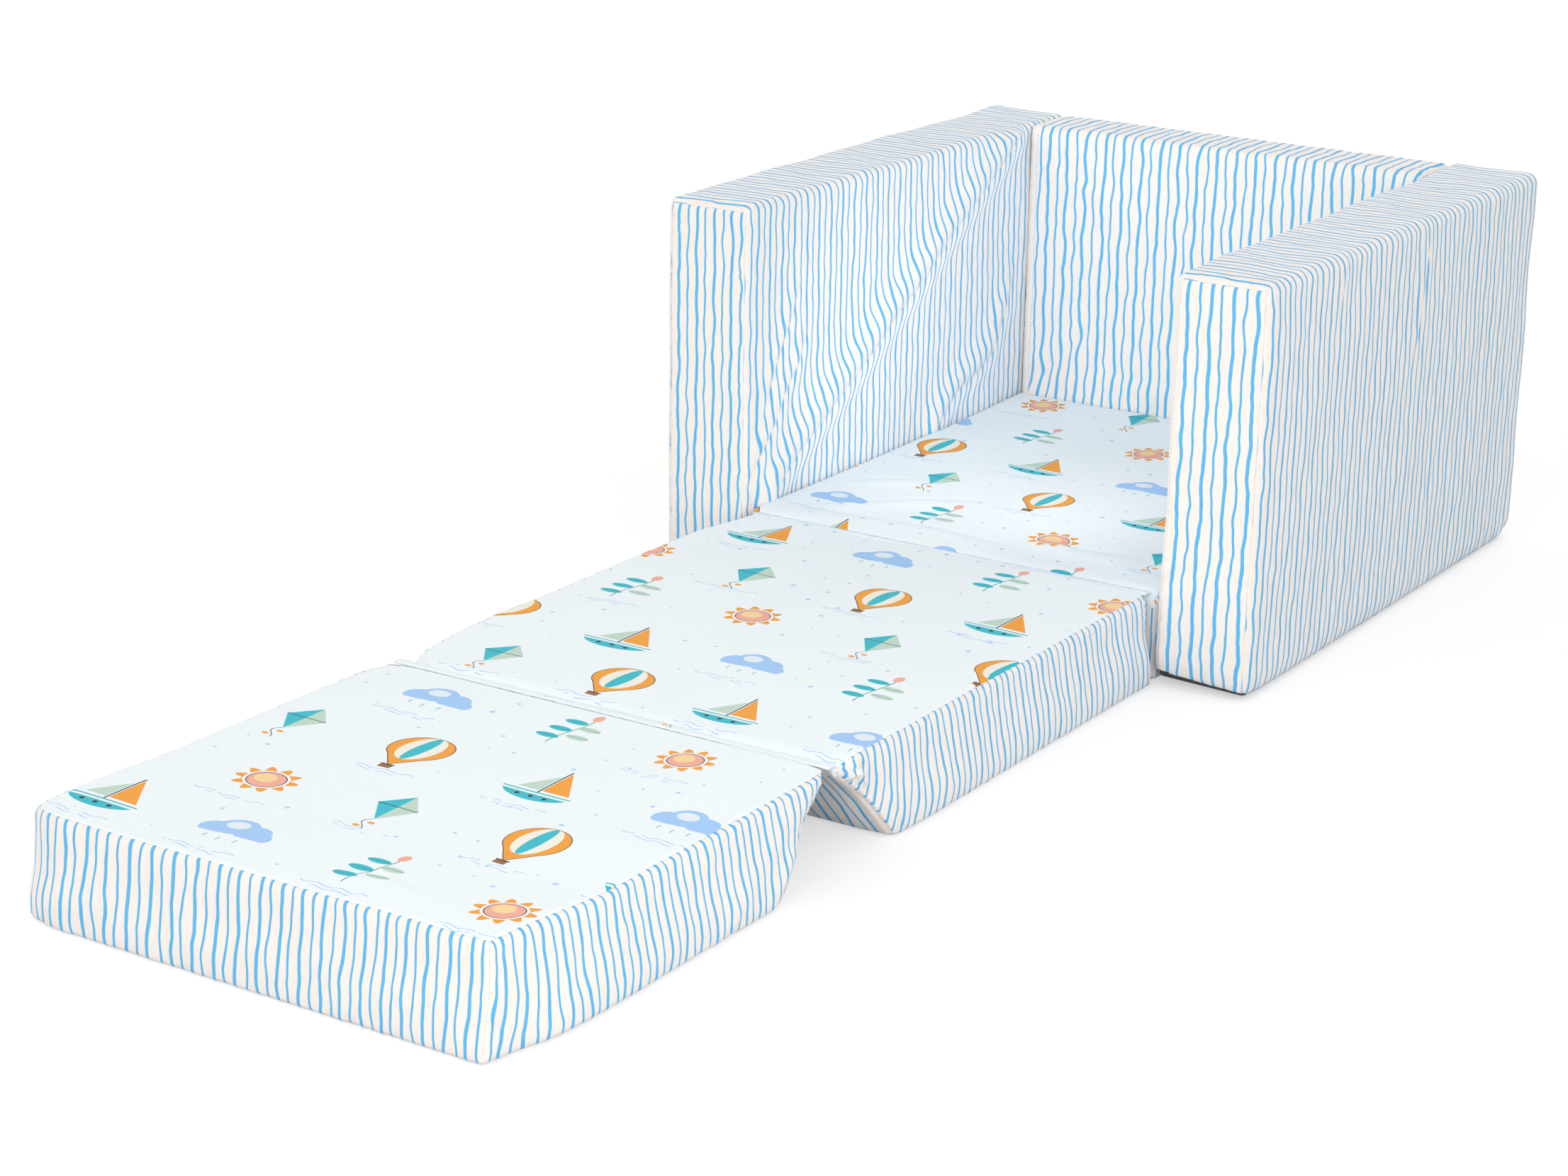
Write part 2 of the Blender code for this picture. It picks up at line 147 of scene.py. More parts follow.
class ArmchairStage(bpy.types.PropertyGroup):
    lens: number_property("Lens", "Focal length in millimetres", 78.38)
    place: bpy.props.FloatVectorProperty(
        name="Camera place", description="Where the camera stands", default=(1.4212, -2.31855, 0.974),
        subtype="TRANSLATION", unit="LENGTH")
    azimuth: angle_property("Azimuth", "Turn of the camera to the left", 32.654)
    elevation: angle_property("Elevation", "Camera's downward tilt", 18.102)
    roll: angle_property("Roll", "Camera's roll", 0.985)
    key: number_property("Key lamp", "Power of the large front lamp", 13.5)
    fill: number_property("Fill lamp", "Power of the side lamp", 4.2)
    side: number_property("Side lamp", "Power of the low lamp on the right", 5.8)
    seat: number_property("Seat lamp", "Power of the small lamp that lifts the seat space", 0.165)
    ambient: number_property("Ambient", "Strength of the world light on the left", 1.308)


CHAIR = "chair"
MIDDLE = "middle_pad"
END = "end_pad"


def add_object(name, data):
    """A new object at the origin, linked to the scene."""
    obj = bpy.data.objects.new(name, data)
    bpy.context.scene.collection.objects.link(obj)
    return obj


class Tree:
    """A node tree with short ways to fill it."""

    def __init__(self, tree):
        self.tree = tree

    def add(self, kind, inputs=None, **settings):
        node = self.tree.nodes.new(kind)
        for key, value in settings.items():
            setattr(node, key, value)
        for key, value in (inputs or {}).items():
            self.feed(node.inputs[key], value)
        return node

    def feed(self, socket, value):
        """Links an output to a socket, or sets the socket's own value."""
        if isinstance(value, Term):
            value = value.socket
        if isinstance(value, bpy.types.NodeSocket):
            self.tree.links.new(value, socket)
        elif socket.type == "RGBA":
            socket.default_value = (*value[:3], 1.0)
        else:
            socket.default_value = value

    def math(self, operation, *values):
        node = self.add("ShaderNodeMath", dict(enumerate(values)), operation=operation)
        return Term(self, node.outputs[0])

    def vector(self, x, y, z=0.0):
        return self.add("ShaderNodeCombineXYZ", {0: x, 1: y, 2: z}).outputs[0]

    def split(self, vector):
        """The three parts of a vector."""
        return [Term(self, output) for output in self.add("ShaderNodeSeparateXYZ", {0: vector}).outputs]


class Nodes(Tree):
    """The node tree of a new material, with short ways to write its pattern."""

    def __init__(self, name):
        self.material = bpy.data.materials.new(name)
        self.material.use_nodes = True
        super().__init__(self.material.node_tree)
        self.shader = self.tree.nodes["Principled BSDF"]

    def cloth(self):
        """The two directions of the piece's own cloth map, in metres."""
        return self.split(self.add("ShaderNodeUVMap", uv_map="Cloth").outputs[0])[:2]

    def place(self):
        """The three Object coordinates, in metres."""
        return self.split(self.add("ShaderNodeTexCoord").outputs["Object"])

    def attribute(self, name):
        return Term(self, self.add("ShaderNodeAttribute", attribute_name=name).outputs["Fac"])

    def noise(self, vector, scale, detail=2.0, roughness=0.5):
        node = self.add("ShaderNodeTexNoise", {"Vector": vector, "Scale": scale, "Detail": detail,
                                               "Roughness": roughness}, noise_dimensions="3D")
        return Term(self, node.outputs["Fac"])

    def random(self, x, y, z):
        node = self.add("ShaderNodeTexWhiteNoise", {"Vector": self.vector(x, y, z)}, noise_dimensions="3D")
        return Term(self, node.outputs["Value"])

    def span(self, value, low, high, first=0.0, last=1.0):
        """Smooth step from first to last as a value goes from low to high."""
        node = self.add("ShaderNodeMapRange", dict(enumerate((value, low, high, first, last))),
                        interpolation_type="SMOOTHSTEP")
        return Term(self, node.outputs[0])

    def mix(self, factor, first, second, blend="MIX"):
        inputs = {0: factor, 6: first, 7: second}
        return self.add("ShaderNodeMix", inputs, data_type="RGBA", blend_type=blend).outputs[2]

    def bump(self, height, distance, strength=1.0, under=None):
        inputs = {"Strength": strength, "Distance": distance, "Height": height}
        if under is not None:
            inputs["Normal"] = under
        return self.add("ShaderNodeBump", inputs).outputs[0]

    def set(self, **values):
        names = {"colour": "Base Color", "roughness": "Roughness", "normal": "Normal", "metal": "Metallic",
                 "specular": "Specular IOR Level", "sheen": "Sheen Weight",
                 "sheen_roughness": "Sheen Roughness"}
        for key, value in values.items():
            self.feed(self.shader.inputs[names[key]], value)
        return self.material


def joined(operation, swapped=False):
    """A method that joins a term and another number."""
    def join(term, other):
        return term.nodes.math(operation, *((other, term) if swapped else (term, other)))
    return join


def changed(operation):
    """A method that changes a term by itself."""
    def change(term):
        return term.nodes.math(operation, term)
    return change


class Term:
    """A number in a node tree that can be added, scaled and compared."""

    def __init__(self, nodes, socket):
        self.nodes = nodes
        self.socket = socket

    __add__ = joined("ADD")
    __radd__ = joined("ADD", True)
    __sub__ = joined("SUBTRACT")
    __rsub__ = joined("SUBTRACT", True)
    __mul__ = joined("MULTIPLY")
    __rmul__ = joined("MULTIPLY", True)
    __truediv__ = joined("DIVIDE")
    __mod__ = joined("FLOORED_MODULO")
    least = joined("MINIMUM")
    most = joined("MAXIMUM")
    above = joined("GREATER_THAN")
    floor = changed("FLOOR")
    size = changed("ABSOLUTE")
    sine = changed("SINE")
    root = changed("SQRT")

    def equals(self, other):
        return self.nodes.math("COMPARE", self, other, 0.25)


def weave_height(u, v, pitch):
    """Plain weave: threads that pass over and under each other."""
    turn = 2 * math.pi / (2 * pitch)
    return (u * turn).sine() * (v * turn).sine()


def cotton_finish(nodes, colour, u, v, cloth, toned, sheen=0.06):
    """Shading that both cottons share: weave, slubs, slow colour drift and soft wear on the edges."""
    where = nodes.vector(u, v)
    drift = nodes.noise(where, 9.0, 3.0)
    slub = nodes.noise(nodes.vector(u * 900.0, v * 90.0), 1.0, 2.0, 0.7)
    slub_across = nodes.noise(nodes.vector(u * 90.0, v * 900.0), 1.0, 2.0, 0.7)
    grain = (slub + slub_across) * 0.5
    shade = nodes.span(drift * 0.6 + grain * 0.4, 0.25, 0.75)
    colour = nodes.mix(shade * 0.16, colour, toned, "MULTIPLY")
    rubbed = nodes.attribute("rub") * nodes.noise(where, 60.0, 3.0)
    colour = nodes.mix(rubbed * 0.22, colour, (0.93, 0.91, 0.90), "MULTIPLY")
    weave = weave_height(u, v, cloth.thread_pitch)
    creased = nodes.noise(nodes.vector(u, v * 0.6), 38.0, 4.0, 0.62)
    fine = nodes.bump(weave * 0.5 + grain, 0.00012, 0.55)
    normal = nodes.bump(creased, 0.0016, 0.5, fine)
    roughness = nodes.span(grain * 0.7 + rubbed * 0.3, 0.2, 0.8, 0.78, 0.92)
    return nodes.set(colour=colour, roughness=roughness, normal=normal, specular=0.22,
                     sheen=sheen, sheen_roughness=0.5)


def striped_cotton(cloth):
    """Cream cotton with wavy blue stripes, wide and narrow in turn."""
    nodes = Nodes("striped_cotton")
    u, v = nodes.cloth()
    where = nodes.vector(u, v)
    pitch, wave = cloth.stripe_pitch, cloth.stripe_wave
    number = (u / pitch).floor()
    centre = (number + 0.5) * pitch
    wander = nodes.noise(nodes.vector(number * 7.31, v / cloth.wave_length), 1.0, 1.0, 0.4)
    ripple = nodes.noise(nodes.vector(number * 3.17, v / (cloth.wave_length * 0.3)), 1.0, 0.0)
    offset = (wander - 0.5) * (4.4 * wave) + (ripple - 0.5) * (0.4 * wave)
    wide = number % 2.0
    width = wide * (cloth.stripe_wide - cloth.stripe_narrow) + cloth.stripe_narrow
    swell = nodes.noise(nodes.vector(number * 11.9, v * 42.0), 1.0, 1.0)
    half = width * (swell * 0.5 + 0.75) * 0.5
    fray = (nodes.noise(where, 2600.0, 1.0) - 0.5) * 0.0003
    edge = (u - centre - offset).size() - half + fray
    unprinted = nodes.attribute("plain")
    ink = nodes.span(edge, -0.00022, 0.00022, 1.0, 0.0) * nodes.span(unprinted, 0.4, 0.6, 1.0, 0.0)
    blue = nodes.mix(nodes.noise(where, 150.0, 2.0) * 0.4, cloth.blue, tint("4CAFF0"))
    ground = nodes.mix(nodes.noise(where, 5.0, 2.0) * 0.5, cloth.cream, tint("FBF3EC"))
    return cotton_finish(nodes, nodes.mix(ink * 0.97, ground, blue), u, v, cloth, (0.94, 0.90, 0.87))


class Motif:
    """Shapes of one printed motif, in centimetres from its middle."""

    def __init__(self, nodes, x, y, chosen):
        self.nodes = nodes
        self.x = x
        self.y = y
        self.chosen = chosen

    def disc(self, x, y, across, up=None):
        nodes = self.nodes
        up = across if up is None else up
        offset = nodes.vector((self.x - x) / across, (self.y - y) / up)
        length = nodes.add("ShaderNodeVectorMath", {0: offset}, operation="LENGTH").outputs["Value"]
        return (Term(nodes, length) - 1.0) * min(across, up)

    def box(self, x, y, across, up):
        return ((self.x - x).size() - across).most((self.y - y).size() - up)

    def side(self, x, y, angle):
        """Negative on the left of a line through a point at an angle."""
        dx, dy = math.cos(angle), math.sin(angle)
        return (self.x - x) * dy - (self.y - y) * dx

    def three(self, *corners):
        """A triangle with its corners given anticlockwise."""
        result = None
        for (ax, ay), (bx, by) in zip(corners, corners[1:] + corners[:1]):
            edge = self.side(ax, ay, math.atan2(by - ay, bx - ax))
            result = edge if result is None else result.most(edge)
        return result

    def paint(self, colour, layers, soft=0.018):
        """Prints layers, each a shape and its ink, over a colour."""
        for shape, ink in layers:
            mask = self.nodes.span(shape, -soft, soft, 1.0, 0.0) * self.chosen
            colour = self.nodes.mix(mask, colour, ink)
        return colour


def balloon(m, c):
    body = m.disc(0, 0.9, 2.35, 2.45).least(m.three((-1.55, -0.9), (0, -3.0), (1.55, -0.9)))
    return ((body, c.orange),
            (m.disc(0, 0.9, 1.45, 2.46).most(body), (0.92, 0.90, 0.80)),
            (m.disc(0, 0.9, 0.55, 2.46).most(body), c.teal),
            (body.size() - 0.035, c.navy),
            (m.box(0, -3.25, 0.5, 0.36), tint("9A6A3C")),
            (m.box(0, -2.98, 0.58, 0.07), c.navy))


def sailboat(m, c):
    hull = m.disc(0, -0.9, 3.0, 1.75).most(m.y + 1.1)
    return ((m.three((0.15, -0.75), (2.5, -0.75), (0.15, 3.1)), c.orange),
            (m.three((-2.0, -0.75), (-0.15, -0.75), (-0.15, 2.3)), c.sage),
            (m.box(0, 0.9, 0.07, 2.4), c.navy),
            (hull, c.teal),
            (hull.most((m.y + 1.42).size() - 0.14), (0.88, 0.93, 0.90)),
            *((m.disc(x, -1.95, 0.19), c.navy) for x in (-1.2, 0.0, 1.2)))


def cloud(m, c):
    puff = m.disc(-1.6, -0.3, 1.15).least(m.disc(-0.35, 0.45, 1.5)).least(m.disc(1.25, 0.0, 1.3))
    puff = puff.least(m.disc(2.2, -0.55, 0.85)).most(-1.15 - m.y)
    drops = m.box(0, -2.1, 0.05, 0.32).least(m.box(-1.2, -1.9, 0.05, 0.28))
    return ((puff, c.sky),
            (m.disc(-0.5, 0.75, 0.85, 0.7), (0.80, 0.89, 0.96)),
            (drops.least(m.box(1.3, -1.95, 0.05, 0.3)), c.teal))


def sprig(m, c):
    stem = ((m.x - (m.y * 0.7).sine() * 0.35).size() - 0.05).most(m.y.size() - 3.0)
    layers = [(stem, tint("2C8C8A"))]
    for turn, (x, y) in enumerate(((-1.05, -1.7), (1.15, -1.0), (-1.0, -0.1), (1.05, 0.75), (-0.75, 1.6))):
        leaf = m.disc(x, y, 0.98, 0.44)
        layers += [(leaf, c.sage if turn % 2 else c.teal),
                   (leaf.most((m.y - y).size() - 0.03), tint("2C8C8A"))]
    return layers + [(m.disc(0.3, 3.0, 0.42, 0.62), c.coral)]


def sun(m, c):
    rays = (m.nodes.math("ARCTAN2", m.y, m.x) * 10.0).sine() * 0.36
    face = m.disc(0, 0, 1.38)
    return (((m.disc(0, 0, 2.0) - rays).most(1.62 - (m.disc(0, 0, 1.0) + 1.0)), c.orange),
            (face, c.coral),
            (face.size() - 0.04, c.navy),
            (m.disc(-0.25, 0.25, 0.8), tint("FBD9A0")))


def kite(m, c):
    left = m.three((0, 2.9), (-1.75, 0.7), (0, -2.0))
    right = m.three((0, -2.0), (1.75, 0.7), (0, 2.9))
    tail = m.x - ((m.y + 2.0) * 2.4).sine() * 0.4
    return ((left, c.teal),
            (right, c.sage),
            (left.least(right).most((m.y - 0.7).size() - 0.05), c.navy),
            ((tail.size() - 0.045).most((m.y + 3.0).size() - 1.0), c.navy),
            (m.disc(0.32, -2.7, 0.3, 0.2).least(m.disc(-0.3, -3.6, 0.3, 0.2)), c.orange))


def printed_cotton(cloth):
    """Ice-white cotton with scattered plain motifs: balloon, boat, cloud, sprig, sun and kite."""
    nodes = Nodes("printed_cotton")
    u, v = nodes.cloth()
    where = nodes.vector(u, v)
    across, along = cloth.motif_across * 100, cloth.motif_along * 100
    row = (v * 100.0 / along).floor()
    shifted = u * 100.0 + (row % 2.0) * (across / 2)
    column = (shifted / across).floor()
    x = shifted - (column + 0.5) * across
    y = v * 100.0 - (row + 0.5) * along
    x = x + (nodes.random(column, row, 3.0) - 0.5) * 1.4
    y = y + (nodes.random(column, row, 9.0) - 0.5) * 1.2
    kind = (column + row * 2.0) % 6.0
    colour = nodes.mix(nodes.noise(where, 4.0, 2.0) * 0.6, cloth.ice, tint("F4FCFF"))
    for number, draw in enumerate((balloon, sailboat, cloud, sprig, sun, kite)):
        motif = Motif(nodes, x, y, kind.equals(float(number)))
        colour = motif.paint(colour, draw(motif, cloth))
    under = Motif(nodes, x, y, nodes.random(column, row, 1.0).above(0.35))
    swing = (x * 3.2).sine() * 0.13
    broken = nodes.noise(where, 90.0, 1.0)
    for level, reach in ((-4.0, 2.9), (-4.45, 1.7)):
        line = ((y - level - swing).size() - 0.045).most(x.size() - reach)
        colour = under.paint(colour, [(line.most(0.42 - broken), cloth.sky)])
    cell = 2.9
    cell_x = (u * 100.0 / cell).floor()
    cell_y = (v * 100.0 / cell).floor()
    size = nodes.random(cell_x, cell_y, 2.0)
    star_x = (u * 100.0 - (cell_x + 0.5) * cell + (size - 0.5) * 1.4).size()
    star_y = (v * 100.0 - (cell_y + 0.5) * cell + (nodes.random(cell_x, cell_y, 4.0) - 0.5)).size()
    star = star_x.root() + star_y.root() - (size * 0.25 + 0.42)
    clear = x.size().most(y.size()).above(3.4)
    sparkle = Motif(nodes, x, y, clear * nodes.random(cell_x, cell_y, 6.0).above(0.55))
    colour = sparkle.paint(colour, [(star, cloth.sky)])
    return cotton_finish(nodes, colour, u, v, cloth, (0.95, 0.96, 0.98))


def on_object(name):
    """Nodes of a new material with its Object coordinates, one by one and as a vector."""
    nodes = Nodes(name)
    x, y, z = nodes.place()
    return nodes, x, y, z, nodes.vector(x, y, z)


def base_cloth(cloth):
    """Dark non-slip cloth with rows of small raised dots."""
    nodes, x, y, z, where = on_object("base_cloth")
    step = 0.0042
    dx = (x / step) % 1.0 - 0.5
    dy = (y / step) % 1.0 - 0.5
    dots = nodes.span(dx * dx + dy * dy, 0.02, 0.075, 1.0, 0.0)
    fibres = nodes.noise(nodes.vector(x * 700.0, y * 700.0, z * 700.0), 1.0, 3.0, 0.7)
    dust = nodes.noise(where, 22.0, 4.0)
    colour = nodes.mix(fibres * 0.5, cloth.grey, tint("2F3236"))
    colour = nodes.mix(dots * 0.7, colour, tint("232528"))
    colour = nodes.mix(nodes.span(dust, 0.5, 0.8, 0.0, 0.22), colour, tint("8C8B88"))
    normal = nodes.bump(dots * 1.5 + fibres * 0.4, 0.0005, 0.7)
    return nodes.set(colour=colour, roughness=nodes.span(dots, 0, 1, 0.88, 0.5), normal=normal, specular=0.3)


def cut_foam(cloth):
    """Open-cell foam with small pores, with painted shade inside their hollows."""
    nodes, _, _, _, where = on_object("upholstery_foam")
    cells = nodes.add("ShaderNodeTexVoronoi", {"Vector": where, "Scale": 620.0}, feature="DISTANCE_TO_EDGE")
    pores = nodes.span(Term(nodes, cells.outputs["Distance"]), 0.02, 0.3)
    age = nodes.noise(where, 12.0, 4.0)
    colour = nodes.mix(age * 0.6, cloth.foam, tint("E2CF8E"))
    # Painted shade: each pore is coloured darker towards its middle, where the bump sinks it.
    colour = nodes.mix(pores * 0.35, colour, tint("CDB87A"))
    return nodes.set(colour=colour, roughness=nodes.span(age, 0.2, 0.8, 0.86, 0.97),
                     normal=nodes.bump(pores * -1.0, 0.0006, 0.6), specular=0.15)


def zip_tape_cloth(_):
    """Woven cream tape with fine ribs."""
    nodes, x, y, z, where = on_object("zip_tape")
    rib = ((x + y + z) * (2 * math.pi / 0.0011)).sine()
    cross = ((x - y + z) * (2 * math.pi / 0.0009)).sine()
    tone = nodes.noise(where, 160.0, 3.0)
    colour = nodes.mix(tone * 0.5, tint("F5F0E8"), tint("E6DFD3"))
    colour = nodes.mix(nodes.span(rib * cross, -1, 1, 0.0, 0.25), colour, tint("D8D0C3"))
    return nodes.set(colour=colour, roughness=nodes.span(tone, 0.2, 0.8, 0.75, 0.9),
                     normal=nodes.bump(rib * 0.5 + cross * 0.5, 0.00015, 0.6), specular=0.25)


def zip_metal(_):
    """Nickel-plated die casting, a little scuffed."""
    nodes, _, _, _, where = on_object("zip_metal")
    scuff = nodes.noise(where, 900.0, 4.0, 0.65)
    cloudy = nodes.noise(where, 140.0, 2.0)
    colour = nodes.mix(scuff * 0.5, tint("D5D3CE"), tint("9E9C98"))
    return nodes.set(colour=colour, roughness=nodes.span(scuff * 0.6 + cloudy * 0.4, 0.3, 0.7, 0.22, 0.5),
                     normal=nodes.bump(scuff, 0.00008, 0.5), metal=1.0)


def coil_plastic(_):
    """Pale nylon of the zip's coil."""
    nodes, _, _, _, where = on_object("zip_coil")
    tone = nodes.noise(where, 800.0, 3.0)
    colour = nodes.mix(tone * 0.6, tint("E9E5DD"), tint("CFC8BC"))
    return nodes.set(colour=colour, roughness=nodes.span(tone, 0.2, 0.8, 0.35, 0.55),
                     normal=nodes.bump(tone, 0.00005, 0.4), specular=0.4)


def thread_cotton(name, first, second):
    """Twisted sewing thread."""
    nodes, x, y, z, where = on_object(name)
    twist = ((x * 1.3 + y + z * 0.8) * (2 * math.pi / 0.0006)).sine()
    tone = nodes.noise(where, 400.0, 3.0)
    colour = nodes.mix(tone * 0.7, first, second)
    return nodes.set(colour=colour, roughness=nodes.span(tone, 0.2, 0.8, 0.7, 0.85),
                     normal=nodes.bump(twist * 0.5 + tone, 0.0001, 0.5), specular=0.25)


MAKERS = {
    "striped_cotton": striped_cotton,
    "printed_cotton": printed_cotton,
    "base_cloth": base_cloth,
    "upholstery_foam": cut_foam,
    "zip_tape": zip_tape_cloth,
    "zip_metal": zip_metal,
    "zip_coil": coil_plastic,
    "sewing_thread": lambda cloth: thread_cotton("sewing_thread", cloth.thread, tint("CFC9C2")),
    "blue_thread": lambda _: thread_cotton("blue_thread", tint("7FB2E6"), tint("A9D4F2")),
}
FINISHES = {}


def finish_of(name):
    """A material by its name, made once from the scene's colours."""
    if name not in FINISHES:
        FINISHES[name] = MAKERS[name](bpy.context.scene.armchair_cloth)
    return FINISHES[name]


def grid_lines(low, high, stops, cell):
    """Lines from low to high that hold every stop, with an even number of cells between stops."""
    stops = sorted(set([low, high] + [s for s in stops if low < s < high]))
    lines = [low]
    for first, last in zip(stops, stops[1:]):
        count = 2 * max(1, math.ceil((last - first) / (2 * cell) - 1e-9))
        lines += [first + (last - first) * (i + 1) / count for i in range(count)]
    return np.array(lines)


def box_lattice(lines):
    """Surface points of a gridded box, with its outward quads and the side that each lies on."""
    shape = [len(line) for line in lines]
    outer = np.zeros(shape, bool)
    outer[[0, -1]] = True
    outer[:, [0, -1]] = True
    outer[:, :, [0, -1]] = True
    cells = np.argwhere(outer)
    index = np.full(shape, -1)
    index[outer] = np.arange(len(cells))
    quads, sides = [], []
    for axis in range(3):
        for end in (0, -1):
            sheet = np.take(index, end, axis)
            quad = np.stack([sheet[:-1, :-1], sheet[1:, :-1], sheet[1:, 1:], sheet[:-1, 1:]], -1)
            quad = quad.reshape(-1, 4)
            if (end == -1) == (axis == 1):
                quad = quad[:, ::-1]
            quads.append(quad)
            sides.append(np.full(len(quad), 2 * axis + (end == -1)))
    return cells, index, np.concatenate(quads), np.concatenate(sides)


def rounded(points, low, high, first, last, heel):
    """Moves a box's surface points on to its rounded form. The heel is the lower rear edge.

    first and last are the roundings' reach along each axis at its low and its high end.
    """
    core = np.clip(points, low + first, high - last)
    out = points - core
    radius = np.where(out < 0, first, last)
    normal = out / radius
    normal /= np.maximum(np.linalg.norm(normal, axis=1, keepdims=True), 1e-9)
    if heel > 0:
        centre = np.array([high[1] - heel, low[2] + heel])
        q = np.stack([core[:, 1] - centre[0], centre[1] - core[:, 2]], 1)
        inside = (q > 1e-9).all(1)
        reach = np.linalg.norm(q[inside], axis=1)
        direction = q[inside] / reach[:, None]
        pulled = direction * q[inside].max(1)[:, None]
        core[inside, 1] = centre[0] + pulled[:, 0]
        core[inside, 2] = centre[1] - pulled[:, 1]
        flat = np.sqrt(np.clip(1 - normal[inside, 0] ** 2, 0, 1))
        normal[inside, 1] = flat * direction[:, 0]
        normal[inside, 2] = -flat * direction[:, 1]
    return core + normal * radius


def vertex_normals(points, quads):
    """Area-weighted normals of a mesh of quads."""
    a, b, c, d = (points[quads[:, i]] for i in range(4))
    face = np.cross(c - a, d - b)
    normal = np.zeros_like(points)
    for i in range(4):
        np.add.at(normal, quads[:, i], face)
    return normal / np.maximum(np.linalg.norm(normal, axis=1, keepdims=True), 1e-12)


def on_stripe(distance, first):
    """Place on the cloth so that a stripe's middle falls where the distance is first."""
    pitch = bpy.context.scene.armchair_cloth.stripe_pitch
    return distance - first + 40.5 * pitch

def bell(gap, width):
    """1 where a gap is nothing, falling off to both sides."""
    return np.exp(-(gap / width) ** 2)


def arc_of(share):
    """0 at both ends of a side and 1 in its middle."""
    return 1 - (2 * share - 1) ** 2


def smooth_step(value, low, high):
    t = np.clip((value - low) / (high - low), 0, 1)
    return t * t * (3 - 2 * t)


def rolling(a, b, scale, seed, waves=9):
    """Slow uneven height over a panel, between about -1 and 1."""
    draw = np.random.default_rng(seed)
    total = np.zeros_like(a)
    for _ in range(waves):
        angle = draw.uniform(0, math.pi)
        pitch = scale * draw.uniform(0.6, 1.7)
        start = draw.uniform(0, 6.28)
        total += np.sin((a * math.cos(angle) + b * math.sin(angle)) * 2 * math.pi / pitch + start)
    return total / math.sqrt(waves)


def gathers(along, pitch, seed):
    """Uneven ripples along a seam, between about -1 and 1."""
    draw = np.random.default_rng(seed)
    total = np.zeros_like(along)
    for factor, weight in ((1.0, 0.8), (1.63, 0.6), (0.47, 0.7), (2.7, 0.35)):
        total += weight * np.sin(along * 2 * math.pi * factor / pitch + draw.uniform(0, 6.28))
    patch = np.sin(along * 2 * math.pi / (pitch * 7.3) + draw.uniform(0, 6.28))
    return total * (0.65 + 0.35 * patch)


def nearest_on_path(a, b, path):
    """Signed distance to a path, positive on its left, and the share of its length."""
    path = np.asarray(path, float)
    steps = np.linalg.norm(np.diff(path, axis=0), axis=1)
    starts = np.concatenate([[0], np.cumsum(steps)])
    best = np.full(a.shape, np.inf)
    side = np.ones(a.shape)
    share = np.zeros(a.shape)
    for i, step in enumerate(steps):
        dx, dy = (path[i + 1] - path[i]) / step
        x, y = a - path[i][0], b - path[i][1]
        t = np.clip(x * dx + y * dy, 0, step)
        gap = np.hypot(x - t * dx, y - t * dy)
        closer = gap < best
        best = np.where(closer, gap, best)
        side = np.where(closer, np.sign(dx * y - dy * x), side)
        share = np.where(closer, (starts[i] + t) / starts[-1], share)
    return best * np.where(side == 0, 1, side), share


def soft_fold(a, b, path, width, height, valley, slide, fade=(0.25, 0.15), narrow=0.13):
    """One slack fold: a broad ridge on the right of its path, a sharp valley on it, and the print's slide.

    The path is in millimetres. fade holds the shares of it over which the fold rises and ends.
    """
    gap, share = nearest_on_path(a, b, np.array(path) / 1000)
    strength = smooth_step(share, 0, fade[0])
    if fade[1] > 0:
        strength = strength * (1 - smooth_step(share, 1 - fade[1], 1))
    lift = strength * (height * bell(gap + 0.5 * width, 0.42 * width) - valley * bell(gap, narrow * width))
    return lift, strength * slide * np.where(gap < 0, bell(gap, 0.70 * width), bell(gap, 0.0088))


SEAM_WIDTH = 0.0011
# Reach to both sides of a seam that the simulation holds, and how firmly it holds all of a cover.
HELD_SEAM = 0.001
HELD_CLOTH = 0.25
SLOW_HEIGHT = 0.0006
BLOCK_EDGE = 0.005
BLOCK_STEP = 4
STITCH_LIFT = 0.0001
SIMULATED_FRAMES = 20
SIMULATION_INSET = 0.0006
SMOOTHINGS = 3
SMOOTHING = 0.65
CLOTH_SETTINGS = {
    "quality": 5, "mass": 0.15, "tension_stiffness": 12, "compression_stiffness": 9, "shear_stiffness": 6,
    "bending_stiffness": 0.25, "tension_damping": 8, "compression_damping": 8, "shear_damping": 8,
    "bending_damping": 1, "vertex_group_mass": "held", "pin_stiffness": 1, "use_pressure": True,
    "shrink_min": -0.018}


def smooth_mesh(name, points, faces, finishes=()):
    """A mesh of smooth faces with its finishes."""
    mesh = bpy.data.meshes.new(name)
    mesh.from_pydata(points.tolist(), [], faces.tolist())
    mesh.polygons.foreach_set("use_smooth", np.ones(len(faces), bool))
    for finish in finishes:
        mesh.materials.append(finish_of(finish))
    return mesh


def declare_padded(obj, body, replaced):
    """The frame's calls of a padded piece."""
    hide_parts(*replaced)
    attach(obj, body)
    narrow_when_folded(obj, body)
    return obj


def narrow_when_folded(obj, body):
    """Gives a piece of a loose section its own copy of its mesh."""
    if body != CHAIR:
        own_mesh(obj)


